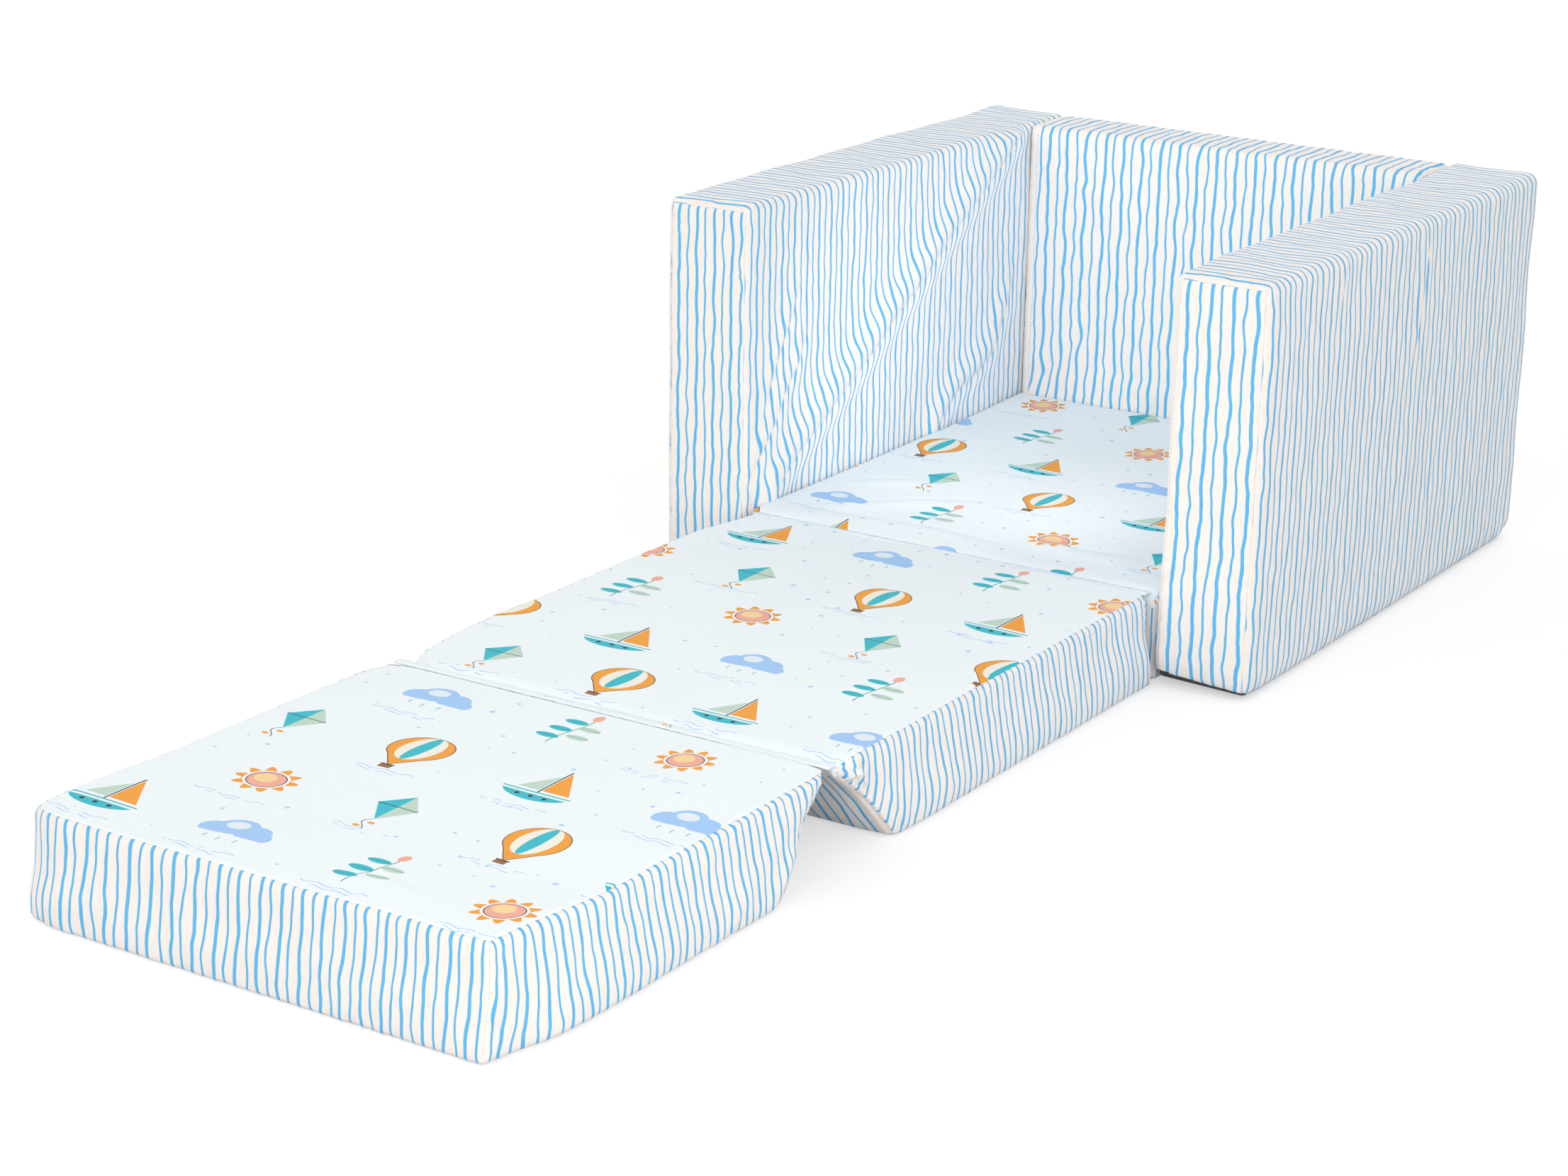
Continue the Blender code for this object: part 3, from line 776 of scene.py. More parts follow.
class Padded:
    """A foam slab in its sewn cover: a gridded box whose points and print can be moved.

    leans holds how far its front and its rear end are drawn in for each metre of depth, and reach the
    rounding of its front and its rear edges.
    """

    def __init__(self, name, low, high, stops, radius, foot, heel=0.0, leans=(0.0, 0.0), reach=None,
                 cell=None):
        self.name = name
        self.heel = heel
        self.leans = leans
        self.low, self.high = np.array(low, float), np.array(high, float)
        first, last = np.full(3, radius), np.full(3, radius)
        first[1], last[1] = reach or (radius, radius)
        first[2] = foot
        cell = cell or bpy.context.scene.armchair_shape.cell
        self.lines = [grid_lines(a, b, list(stop) + [a + start, b - end], cell)
                      for a, b, stop, start, end in zip(self.low, self.high, stops, first, last)]
        self.cells, self.index, self.quads, self.sides = box_lattice(self.lines)
        self.flat = np.stack([self.lines[i][self.cells[:, i]] for i in range(3)], 1)
        self.points = self.leaned(rounded(self.flat, self.low, self.high, first, last, heel))
        self.slide = np.zeros((len(self.flat), 2))
        self.calm = np.ones(len(self.flat))
        self.plain = np.zeros(len(self.flat))
        self.shifted = np.zeros(len(self.flat))
        self.refresh()

    def core(self, node, body):
        """The foam block inside the cover."""
        inset = bpy.context.scene.armchair_shape.foam_inset
        first, last = np.full(3, inset), np.full(3, inset)
        for margin, lean in zip((first, last), self.leans):
            margin[1] *= math.sqrt(2) + 1 if lean else 1
        low, high = self.low + first, self.high - last
        coarse = []
        for line in self.lines:
            coarse.append(line[np.unique(np.append(np.arange(0, len(line), BLOCK_STEP), len(line) - 1))])
        cells, _, quads, _ = box_lattice(coarse)
        place = np.stack([coarse[i][cells[:, i]] for i in range(3)], 1)
        place = low + (place - self.low) / (self.high - self.low) * (high - low)
        edge = np.full(3, BLOCK_EDGE)
        points = self.leaned(rounded(place, low, high, edge, edge, max(0.0, self.heel - inset)))
        name = node + "_block"
        block = add_object(name, smooth_mesh(name, points, quads, ["upholstery_foam"]))
        declare_padded(block, body, [node])

    def leaned(self, points):
        """Points with the foot of a slanted end drawn in along Y."""
        front, rear = self.leans
        depth = self.high[2] - points[:, 2]
        share = np.clip((points[:, 1] - self.low[1]) / (self.high[1] - self.low[1]), 0, 1)
        points[:, 1] += (1 - share) * front * depth + share * rear * depth
        return points

    def refresh(self):
        self.normal = vertex_normals(self.points, self.quads)

    def push(self, height):
        """Moves the cover outwards."""
        self.points += self.normal * height[:, None]

    def raise_by(self, height):
        """Moves the cover outwards, apart from where it is held still."""
        self.push(height * self.calm)

    def facing(self, axis, sign):
        """How much a point faces one way, 1 on that side and 0 on the others."""
        return np.clip(self.normal[:, axis] * sign, 0, 1) ** 2.0

    def keep_calm(self, name, margin):
        """Holds the cloth still round a zip and its slider, where there is a zip."""
        for node in (name + "_zip", name + "_zip_slider"):
            low, high = box_of(node)
            gap = np.maximum(low - self.flat, self.flat - high).max(axis=1)
            self.calm = np.minimum(self.calm, smooth_step(gap, margin * 0.35, margin))

    def swell(self, held):
        """Cloth simulation with air pressure on every other line of the grid, carried over to all points."""
        shape, scene = bpy.context.scene.armchair_shape, bpy.context.scene
        cells, index, quads, _ = box_lattice([line[::2] for line in self.lines])
        fine_of = self.index[tuple((cells * 2).T)]
        start = self.points[fine_of] - self.normal[fine_of] * SIMULATION_INSET
        mesh = bpy.data.meshes.new(self.name + "_swell")
        mesh.from_pydata(start.tolist(), [], quads.tolist())
        obj = add_object(mesh.name, mesh)
        weight = np.maximum(held[fine_of], 1 - self.calm[fine_of])
        group = obj.vertex_groups.new(name="held")
        for number in np.flatnonzero(weight > 0.01):
            group.add([int(number)], float(weight[number]), "REPLACE")
        cloth = obj.modifiers.new("Cloth", "CLOTH")
        for key, value in CLOTH_SETTINGS.items():
            setattr(cloth.settings, key, value)
        cloth.settings.uniform_pressure_force = shape.pressure
        cloth.settings.effector_weights.gravity = 0
        cloth.collision_settings.use_collision = False
        cloth.point_cache.frame_start = 1
        cloth.point_cache.frame_end = SIMULATED_FRAMES
        for number in range(1, SIMULATED_FRAMES + 1):
            scene.frame_set(number)
        evaluated = obj.evaluated_get(bpy.context.evaluated_depsgraph_get())
        after = np.empty(len(start) * 3)
        evaluated.data.vertices.foreach_get("co", after)
        scene.frame_set(1)
        moved = after.reshape(-1, 3) - start
        for _ in range(SMOOTHINGS):
            total, count = np.zeros_like(moved), np.zeros((len(moved), 1))
            for i in range(4):
                np.add.at(total, quads[:, i], moved[quads[:, i - 1]])
                np.add.at(count, quads[:, i], 1)
            moved = (1 - SMOOTHING) * moved + SMOOTHING * total / np.maximum(count, 1)
        size = np.linalg.norm(moved, axis=1, keepdims=True)
        moved *= np.minimum(1, shape.swell / np.maximum(size, 1e-9))
        moved *= self.calm[fine_of][:, None]
        bpy.data.objects.remove(obj)
        bpy.data.meshes.remove(mesh)
        full = np.zeros((len(self.flat), 3))
        odd = self.cells % 2
        for corner in range(8):
            step = np.array([(corner >> i) & 1 for i in range(3)])
            pick = (self.cells + np.where(odd == 1, 2 * step - 1, 0)) // 2
            full += moved[index[tuple(pick.T)]] / 8
        self.points += full
        self.refresh()

    def seam_groove(self, distance, where):
        """A narrow groove along a sewn line."""
        self.push(-(bpy.context.scene.armchair_shape.groove * where * bell(distance, SEAM_WIDTH)))

    def stay_on_floor(self):
        self.points[:, 2] = np.maximum(self.points[:, 2], self.low[2])

    def build(self, body, replaced, uv_of, label_of, finishes, rub):
        """Makes the mesh, its cloth map, its finishes and the frame's calls."""
        corners = self.flat[self.quads]
        centre = corners.mean(axis=1)
        label = label_of(centre, self.sides)
        uv = uv_of(corners, self.shifted[self.quads], self.sides[:, None], label[:, None], centre[:, None, :])
        uv = uv - self.slide[self.quads]
        mesh = smooth_mesh(self.name, self.points, self.quads, finishes)
        mesh.polygons.foreach_set("material_index", np.ascontiguousarray(label, dtype=np.int32))
        layer = mesh.uv_layers.new(name="Cloth")
        layer.uv.foreach_set("vector", np.ascontiguousarray(uv, dtype=np.float32).ravel())
        for key, values in (("rub", rub), ("plain", self.plain)):
            layer = mesh.attributes.new(key, "FLOAT", "POINT")
            layer.data.foreach_set("value", np.ascontiguousarray(values, dtype=np.float32))
        mesh.update()
        return declare_padded(add_object(self.name, mesh), body, replaced)

    def run(self, *stations):
        """Points of the cover along grid lines between stations given in flat places."""
        path = []
        for ends in zip(stations, stations[1:]):
            a, b = (np.array([np.abs(self.lines[i] - end[i]).argmin() for i in range(3)]) for end in ends)
            count = int(np.abs(b - a).max())
            for step in range(0 if not path else 1, count + 1):
                cell = np.round(a + (b - a) * step / count).astype(int)
                number = self.index[tuple(cell)]
                path.append(self.points[number] + self.normal[number] * STITCH_LIFT)
        return path

    def edge_wear(self, reach=0.012):
        """1 on the rounded edges, fading over the flat sides."""
        near = np.sort(np.minimum(self.flat - self.low, self.high - self.flat), axis=1)
        return np.clip(1 - near[:, 1] / reach, 0, 1)


def rim_distance(a, b, left, right, top):
    """Distance to the nearest of three straight rims, and the place along them."""
    best = np.full(a.shape, np.inf)
    along = np.zeros(a.shape)
    for number, (gap, here) in enumerate(((a - left, b), (right - a, b), (top - b, a))):
        along = np.where(gap < best, here + 0.713 * number, along)
        best = np.minimum(gap, best)
    return best, along


# Seam paths for the stitching, and the covers that carry a zip.
SEWN = []
ZIPPED = {}
# Grid lines beside a zip's middle, and beside a seam.
ZIP_LINES = (-0.0110, -0.0023, 0.0, 0.0023, 0.0110)
BESIDE_SEAM = (-0.0012, 0.0, 0.0012)


def seam_lines(place):
    """Grid lines on a seam and on both sides of it."""
    return [place + offset for offset in BESIDE_SEAM]


def zip_lines(node):
    """Grid lines that a zip's tape and its chain follow."""
    low, high = box_of(node)
    size = high - low
    across = 3 - int(np.argmin(size)) - int(np.argmax(size))
    return [(low[across] + high[across]) / 2 + offset for offset in ZIP_LINES]


def remember_run(body, path, blue=False):
    """Keeps a seam's path for the stitching."""
    SEWN.append((body, path, blue))


# How far an outer side and the back's rear bulge out at most, and how far round a zip the cloth lies still.
ARM_BELLY = 0.003
BACK_BELLY = 0.003
ZIP_MARGIN = 0.018


def shape_arm(side):
    """One arm: wrap strip over its sides and top, end panels, base cloth, and the cover's slack folds."""
    shape = bpy.context.scene.armchair_shape
    arm = side + "_arm"
    low, high = box_of(arm + "_cover")
    low[2] = min(low[2], box_of(arm + "_base_panel")[0][2])
    low[1] = min(low[1], box_of(arm + "_front_panel")[0][1])
    high[1] = box_of(arm + "_rear_panel")[1][1]
    outer = int(side == "right")
    if outer:
        high[0] -= ARM_BELLY
    else:
        low[0] += ARM_BELLY
    inset, seam = shape.panel_inset, shape.base_seam
    stops = (seam_lines(low[0] + inset) + seam_lines(high[0] - inset) + zip_lines(arm + "_zip"),
             [low[1] + 0.0018, high[1] - 0.0018],
             [seam, seam + 0.0012, seam + 0.0024] + seam_lines(high[2] - inset))
    pad = Padded(arm, low, high, stops, shape.arm_radius, shape.arm_foot, shape.heel_radius,
                 cell=shape.fine_cell)
    pad.keep_calm(arm, ZIP_MARGIN)
    x, y, z = pad.flat.T
    out_x, in_x = pad.facing(0, 2 * outer - 1), pad.facing(0, 1 - 2 * outer)
    front, rear = pad.facing(1, -1), pad.facing(1, 1)
    up = (z - low[2]) / (high[2] - low[2])
    along = (y - low[1]) / (high[1] - low[1])
    pad.raise_by(out_x * ARM_BELLY * (arc_of(up) * (1 - (2 * along - 1) ** 8)) * 0.7)
    narrow = np.clip(1 - np.abs(2 * (x - low[0]) / (high[0] - low[0]) - 1) ** 3, 0, 1)
    pad.push(rear * 0.005 * arc_of(up) * (0.45 + 0.55 * narrow))
    pad.refresh()
    pad.core(arm + "_foam", CHAIR)
    pad.raise_by(shape.fullness * (1 - in_x) * (1 - pad.facing(2, -1)) * smooth_step(z, 0.0, 0.02))
    pad.refresh()
    bottom = pad.facing(2, -1)
    end_gap, end_along = rim_distance(x, z, low[0] + inset, high[0] - inset, high[2] - inset)
    ends = (front + rear > 0.2) & (z > seam)
    end_seam = np.where(ends, bell(end_gap, HELD_SEAM), 0)
    pad.swell(np.clip(bottom + bell(z - seam, HELD_SEAM) + end_seam + HELD_CLOTH, 0, 1))
    slow = rolling(y + x * 0.7, z + x, 0.13, 11 + outer)
    pad.raise_by((1 - bottom) * SLOW_HEIGHT * slow * smooth_step(z, 0, 0.03))
    arm_folds(pad, y, z, *((RIGHT_OUTER_FOLDS, out_x) if outer else (LEFT_INNER_FOLDS, in_x)))
    gather = gathers(end_along, 0.013, 31 + outer) * np.exp(-np.maximum(end_gap, 0) / 0.006)
    on_panel = ends & (end_gap > -0.0005)
    pad.raise_by(np.where(on_panel, (front + rear) * shape.pucker * gather * (1 - end_seam), 0))
    strip_gather = gathers(end_along, 0.010, 37 + outer) * np.exp(-np.abs(end_gap) / 0.004)
    pad.raise_by(np.where(ends & (end_gap <= 0), 0.5 * shape.pucker * strip_gather, 0))
    pad.seam_groove(end_gap, np.where(ends, 1.0, 0.0))
    hem = gathers(x + y, 0.016, 41 + outer) * np.exp(-np.abs(z - seam) / 0.008)
    pad.raise_by((1 - bottom) * 0.6 * shape.pucker * hem)
    if outer:
        push_front(pad, x, y, z)
        pad.plain = np.where((front > 0.2) & (x - low[0] < 0.0068), 1.0, 0.0)
    pad.stay_on_floor()

    def label_of(centre, sides):
        lift = np.where(sides == 2, 0.0060 * np.exp(-(centre[:, 0] - low[0]) / 0.026), 0) if outer else 0
        return np.where((sides == 4) | (centre[:, 2] < seam + lift), 1, 0)

    def uv_of(flat, shifted, sides, label, centre):
        fx, fy, fz = flat[..., 0], flat[..., 1], flat[..., 2]
        height, thick = high[2] - low[2], high[0] - low[0]
        around = 2 * height + thick
        cx, cz = centre[..., 0], centre[..., 2]
        side_gap = np.minimum(cx - low[0], high[0] - cx)
        end_side = (sides == 2) | (sides == 3)
        margin = end_side & (np.minimum(side_gap, high[2] - cz) < inset)
        edge = np.where(sides == 2, low[1], high[1])
        reach = np.minimum(np.minimum(fx - low[0], high[0] - fx), high[2] - fz)
        wrap_u = np.where(end_side, edge + np.where(sides == 2, -1, 1) * np.clip(reach, 0, None), fy)
        wrap_v = np.where(fx - low[0] < high[0] - fx, fz, around - fz)
        on_top = (sides == 5) | (margin & (high[2] - cz <= side_gap))
        wrap_v = np.where(on_top, height + fx - low[0], wrap_v)
        wrap_v = np.where(sides == 0, fz, np.where(sides == 1, around - fz, wrap_v))
        panel = end_side & ~margin
        first, pitch = PANEL_STRIPES[side]
        scale = bpy.context.scene.armchair_cloth.stripe_pitch / pitch
        u = np.where(panel, on_stripe((fx - low[0] - first) * scale, 0.0), on_stripe(wrap_u - low[1], 0.005))
        return np.stack([u, np.where(panel, fz + 0.31, wrap_v + 1.0)], -1)

    nodes = [arm + part for part in ("_cover", "_front_panel", "_rear_panel", "_base_panel")]
    pad.build(CHAIR, nodes, uv_of, label_of, ["striped_cotton", "base_cloth"], pad.edge_wear())
    left, right, top = low[0] + inset, high[0] - inset, high[2] - inset
    for end in (low[1], high[1]):
        corners = ((left, end, seam), (left, end, top), (right, end, top), (right, end, seam))
        remember_run(CHAIR, pad.run(*corners))
    ZIPPED[arm] = (pad, CHAIR)


def push_front(pad, x, y, z):
    """The lower half of the right arm's front: pushed forwards under a soft crease, its foot lifted."""
    near = np.exp(-((y - pad.low[1]) / 0.05))
    inner = np.clip((pad.high[0] - x) / (pad.high[0] - pad.low[0]), 0, 1)
    pad.points[:, 1] -= 0.0045 * near * (smooth_step(z, 0.16, 0.075) * (0.45 + 0.55 * inner))
    pad.points[:, 1] += 0.0016 * near * bell(z - 0.088 - 0.05 * (1 - inner), 0.005) * inner
    lifted = (0.0035 + 0.0050 * inner) * smooth_step(z, 0.05, 0.0)
    pad.points[:, 2] += lifted * np.exp(-(y - pad.low[1]) / 0.02)
    pad.refresh()


def arm_folds(pad, y, z, folds, facing):
    """The folds on one side of an arm, in places measured from the arm's front."""
    depth = y - pad.low[1]
    hemmed = smooth_step(depth, 0.004, 0.022)
    lift = np.zeros(len(y))
    for fold in folds:
        up, across = soft_fold(depth, z, *fold)
        lift += facing * up * (0.3 + 0.7 * hemmed)
        pad.slide[:, 0] += facing * across * hemmed
    pad.raise_by(lift)
    pad.refresh()


# Distance of each front panel's first stripe from its left edge, and from one stripe to the next.
PANEL_STRIPES = {"left": (0.0030, 0.0094), "right": (0.0028, 0.0104)}

# Folds: path in millimetres, width, height, valley, slide of the print, and how they fade and narrow.
LEFT_INNER_FOLDS = (
    (((512, 358), (484, 338), (456, 318), (416, 295), (368, 269), (333, 246), (298, 224), (267, 207),
      (242, 190), (212, 173), (178, 154), (153, 141), (120, 123), (96, 110), (60, 84)),
     0.044, 0.0054, 0.0044, 0.0155, (0.06, 0.0), 0.11),
    (((110, 250), (102, 227), (89, 196), (69, 175), (54, 151), (38, 134), (15, 112), (2, 92)),
     0.026, 0.0032, 0.0026, 0.0072, (0.35, 0.0), 0.14),
    (((500, 225), (488, 204), (480, 178), (454, 133), (421, 118), (388, 107), (366, 92), (350, 80)),
     0.034, 0.0040, 0.0030, 0.0100, (0.3, 0.0), 0.14),
    (((95, 300), (90, 276), (75, 241), (60, 217), (41, 185), (30, 161), (18, 140)),
     0.022, 0.0022, 0.0018, 0.0050, (0.4, 0.3), 0.16),
)

RIGHT_OUTER_FOLDS = (
    (((330, 352), (322, 300), (310, 252), (296, 215)), 0.020, 0.0010, 0.0016, 0.003, (0.2, 0.4), 0.12),
    (((150, 352), (142, 322), (136, 290)), 0.018, 0.0008, 0.0012, 0.002, (0.2, 0.5), 0.12),
)


def shape_back():
    """The back: one striped strip up the front, over the top and down the rear, with a base cloth."""
    shape = bpy.context.scene.armchair_shape
    low, high = box_of("back_cover")
    low[2] = min(low[2], box_of("back_base_panel")[0][2])
    high[1] -= BACK_BELLY
    seam = shape.base_seam
    stops = ([], [], [seam, seam + 0.0012] + zip_lines("back_zip"))
    pad = Padded("back", low, high, stops, shape.arm_radius, shape.foot_radius)
    pad.keep_calm("back", ZIP_MARGIN)
    x, _, z = pad.flat.T
    front, rear, bottom = pad.facing(1, -1), pad.facing(1, 1), pad.facing(2, -1)
    up = (z - low[2]) / (high[2] - low[2])
    across = 2 * x / (high[0] - low[0])
    pad.raise_by(rear * BACK_BELLY * 0.8 * arc_of(up) * (1 - across ** 8))
    pad.refresh()
    pad.core("back_foam", CHAIR)
    pad.raise_by(shape.fullness * pad.facing(2, 1))
    pad.refresh()
    held = bottom + bell(z - seam, HELD_SEAM) + pad.facing(0, 1) + pad.facing(0, -1) + HELD_CLOTH
    pad.swell(np.clip(held, 0, 1))
    pad.raise_by((front + rear) * SLOW_HEIGHT * rolling(x, z, 0.12, 5) * smooth_step(z, 0, 0.03))
    for fold in BACK_FOLDS:
        lift, slide = soft_fold(x, z, *fold, (0.3, 0.25), 0.14)
        pad.raise_by(front * lift)
        pad.slide[:, 0] += front * slide
    pad.plain = smooth_step(x, low[0] + 0.0125, low[0] + 0.0085)
    pad.slide[:, 0] -= front * 0.010 * bell(z - 0.070, 0.026) * np.exp(-(x - low[0]) / 0.035)
    corner = np.minimum(x - low[0], high[0] - x)
    pad.raise_by(front * shape.pucker * (gathers(z, 0.014, 9) * np.exp(-corner / 0.007)))
    pad.refresh()
    pad.seam_groove(z - seam, 1 - bottom)
    pad.stay_on_floor()

    def label_of(centre, sides):
        return np.where((sides == 4) | (centre[:, 2] < seam), 1, 0)

    def uv_of(flat, shifted, sides, label, centre):
        fx, fy, fz = flat[..., 0], flat[..., 1], flat[..., 2]
        height, thick = high[2] - low[2], high[1] - low[1]
        u = np.where((sides == 0) | (sides == 1), fy + 2.0, on_stripe(fx - low[0], 0.0145))
        v = np.where(sides == 5, height + fy - low[1], np.where(sides == 3, 2 * height + thick - fz, fz))
        return np.stack([u, v + 4.0], -1)

    hem = low[0] + 0.0095
    remember_run(CHAIR, pad.run((hem, low[1], 0.085), (hem, low[1], high[2] - 0.008)), True)
    ZIPPED["back"] = (pad, CHAIR)
    pad.build(CHAIR, ["back_cover", "back_base_panel"], uv_of, label_of, ["striped_cotton", "base_cloth"],
              pad.edge_wear())


# Folds on the back's front: path, width, height, valley and slide of the print.
BACK_FOLDS = (
    (((-205, 112), (-120, 118), (-20, 112), (80, 116), (160, 110)), 0.020, 0.0010, 0.0010, 0.001),
    (((-120, 170), (-150, 140), (-175, 115), (-198, 88)), 0.030, 0.0022, 0.0014, 0.003),
    (((-190, 330), (-160, 312), (-120, 300)), 0.016, 0.0008, 0.0010, 0.001),
)


SECTION_BELLY = 0.005
SECTION_ZIP_MARGIN = 0.016
END_FRONT = -0.74305
# The bands are cut from cloth whose stripes stand a little closer.
BAND_CLOSER = 1.12
# Grid lines on the middle section's front corner, which carries small folds.
CORNER_STEPS = [0.003 * number for number in range(1, 9)]


def shape_section(name, body, leans=(0.0, 0.0)):
    """One mattress section: printed top, striped band rolled over its edge, and base cloth."""
    shape = bpy.context.scene.armchair_shape
    nodes = [name + part for part in ("_top_panel", "_side_band", "_base_panel")]
    boxes = [box_of(node) for node in nodes]
    low = np.min([box[0] for box in boxes], axis=0)
    high = np.max([box[1] for box in boxes], axis=0)
    low[1], high[1] = boxes[0][0][1], boxes[0][1][1]
    loose = name != "seat"
    if loose:
        low[0] += SECTION_BELLY
        high[0] -= SECTION_BELLY
    if name == "end":
        low[1] = END_FRONT
    inset, hem_z = shape.top_seam, high[2] - 0.010
    rims = seam_lines(low[0] + inset) + seam_lines(high[0] - inset)
    ends = seam_lines(low[1] + inset) if name == "end" else []
    levels = seam_lines(hem_z) + (zip_lines(name + "_zip") if loose else [])
    if name == "middle":
        ends = [low[1] + step for step in CORNER_STEPS]
        levels += [high[2] - step for step in CORNER_STEPS]
    reach = (0.0045 if name == "end" else shape.fold_radius, shape.fold_radius if loose else shape.pad_radius)
    pad = Padded(name + "_section", low, high, (rims, ends, levels), shape.pad_radius, shape.foot_radius,
                 leans=leans, reach=reach)
    if loose:
        pad.keep_calm(name, SECTION_ZIP_MARGIN)
    x, y, z = pad.flat.T
    top, bottom = pad.facing(2, 1), pad.facing(2, -1)
    sides_x = pad.facing(0, 1) + pad.facing(0, -1)
    front, rear = pad.facing(1, -1), pad.facing(1, 1)
    walls = np.clip(sides_x + front + rear, 0, 1)
    up = (z - low[2]) / (high[2] - low[2])
    arc = arc_of(up)
    if loose:
        along = 2 * (y - low[1]) / (high[1] - low[1]) - 1
        pad.push(sides_x * 0.0045 * (arc * (1 - 0.45 * along ** 8)))
    loosen(pad, x, y, up, *LOOSE[name])
    if name == "end":
        across = 2 * x / (high[0] - low[0])
        pad.points[:, 0] -= 0.006 * smooth_step(-y, 0.60, 0.745) * smooth_step(x, 0.05, 0.2)
        pad.raise_by(front * 0.004 * 0.8 * arc * (1 - 0.4 * across ** 8))
    pad.refresh()
    pad.core(name + "_foam", body)
    shape_top_edges(pad, name, x, y, up)
    side_rim = np.minimum(x - low[0], high[0] - x)
    rim = np.minimum(side_rim, y - low[1]) if name == "end" else side_rim
    on_top = (z > high[2] - 1e-6)
    seam_gap = np.where(on_top, rim - inset, -(high[2] - z) - inset)
    pad.swell(np.clip(bottom + bell(seam_gap, HELD_SEAM) + HELD_CLOTH + 0.55 * top, 0, 1))
    pad.raise_by(top * 0.0007 * (rolling(x, y, 0.16, len(name)) - 0.8))
    pad.raise_by(walls * 0.0007 * rolling(x + y, z * 2, 0.08, 3 + len(name)) * arc)
    for fold in TOP_FOLDS[name]:
        lift, slide = soft_fold(x, y, *fold, (0.35, 0.35), 0.16)
        pad.raise_by(top * lift)
        pad.slide[:, 0] += top * slide
    place = x + y
    beyond = np.maximum(-seam_gap, 0)
    gather = gathers(place, 0.012, 61) * np.exp(-beyond / 0.008) * smooth_step(beyond, 0.0, 0.0015)
    pad.raise_by(np.where(seam_gap < 0, walls, 0) * shape.pucker * gather)
    roll = gathers(place, 0.017, 67) * np.exp(-np.maximum(seam_gap, 0) / 0.009)
    pad.raise_by(on_top * top * shape.pucker * 0.6 * roll * smooth_step(seam_gap, 0.0, 0.002))
    pad.raise_by(walls * shape.pucker * 0.7 * (gathers(place, 0.018, 71) * np.exp(-z / 0.009)))
    crumple_corners(pad, name)
    if loose:
        sloping = front if name == "middle" else rear
        pad.plain = np.where((sloping > 0.3) & (side_rim < 0.0115), 1.0, 0.0)
        pad.raise_by(sloping * 0.0013 * bell(side_rim - 0.006, 0.0045))
        pad.raise_by(sloping * -0.0010 * bell(side_rim - 0.0125, 0.0016))
    pad.refresh()
    pad.seam_groove(seam_gap, 1 - bottom)
    pad.stay_on_floor()

    def label_of(centre, sides):
        cx, cy, cz = centre.T
        edge = np.minimum(cx - low[0], high[0] - cx)
        edge = np.minimum(edge, cy - low[1]) if name == "end" else edge
        hinge_end = (sides == 2) & (name != "end") | (sides == 3) & loose
        printed = (sides == 5) & (edge > inset) | hinge_end & (cz > hem_z)
        return np.where(printed, 0, np.where((sides == 4) & (name == "seat"), 2, 1))

    def uv_of(flat, shifted, sides, label, centre):
        fx, fy, fz = flat[..., 0], flat[..., 1], flat[..., 2]
        cx, cy = centre[..., 0], centre[..., 1]
        rolled = (sides == 5) & (label == 1)
        gaps = np.stack([cx - low[0], high[0] - cx, cy - low[1] if name == "end" else np.full_like(cx, 9.0)])
        nearest = gaps.argmin(axis=0)
        by_left, by_right, by_front = (rolled & (nearest == number) for number in range(3))
        lengthwise = (sides == 2) | (sides == 3) | (sides == 4) | by_front
        drop = high[2] - fz
        over = np.where(by_left, fx - low[0], 0) + np.where(by_right, high[0] - fx, 0)
        over = over + np.where(by_front, fy - low[1], 0)
        level = fy + shifted
        for share, lean in zip((high[1] - fy, fy - low[1]), leans):
            level = level + lean * drop * share / (high[1] - low[1])
        run = on_stripe(BAND_CLOSER * (level - low[1]), BAND_CLOSER * 0.0044)
        run = run + np.where((sides == 1) | by_right, 6.12, 12.24)
        band_u = np.where(lengthwise, on_stripe(BAND_CLOSER * (fx - high[0]), -BAND_CLOSER * 0.0057), run)
        band_v = 9.0 - drop + over + np.where(sides == 4, fy - low[1], 0)
        spill = np.where(sides == 2, -drop, np.where(sides == 3, drop, 0))
        u = np.where(label == 0, fx + PRINT_START[name][0], band_u)
        v = np.where(label == 0, fy + spill + PRINT_START[name][1], band_v)
        return np.stack([u, v], -1)

    pad.build(body, nodes, uv_of, label_of, ["printed_cotton", "striped_cotton", "base_cloth"],
              pad.edge_wear(0.009))
    if name == "end":
        corner = (high[0], low[1])
        remember_run(body, pad.run((*corner, high[2] - 0.006), (*corner, low[2] + 0.008)))
    if loose:
        ZIPPED[name] = (pad, body)


def loosen(pad, x, y, up, flare, right, left, ahead):
    """The loose cloth of a section: its left rim flares, and its foot spreads sideways and forwards."""
    front = pad.low[1]
    clear = smooth_step(0.158 - y, 0.0, 0.10)
    flared = 0.35 + 0.65 * np.maximum(smooth_step(up, 0.45, 0.95), smooth_step(front + 0.05 - y, 0.0, 0.05))
    pad.points[:, 0] -= flare * smooth_step(-x, 0.0, 0.2) * clear * flared
    spread = smooth_step(up, 0.75, 0.0)
    kept = smooth_step(y, -0.745, -0.66)
    kept *= smooth_step(0.156 - y, 0.0, 0.014)
    pad.points[:, 0] += spread * right * kept * smooth_step(x, 0.1, 0.2)
    pad.points[:, 0] -= spread * left * clear * smooth_step(-x, 0.1, 0.2)
    pad.points[:, 1] -= spread * ahead * clear * smooth_step(front + 0.12 - y, 0.0, 0.12)


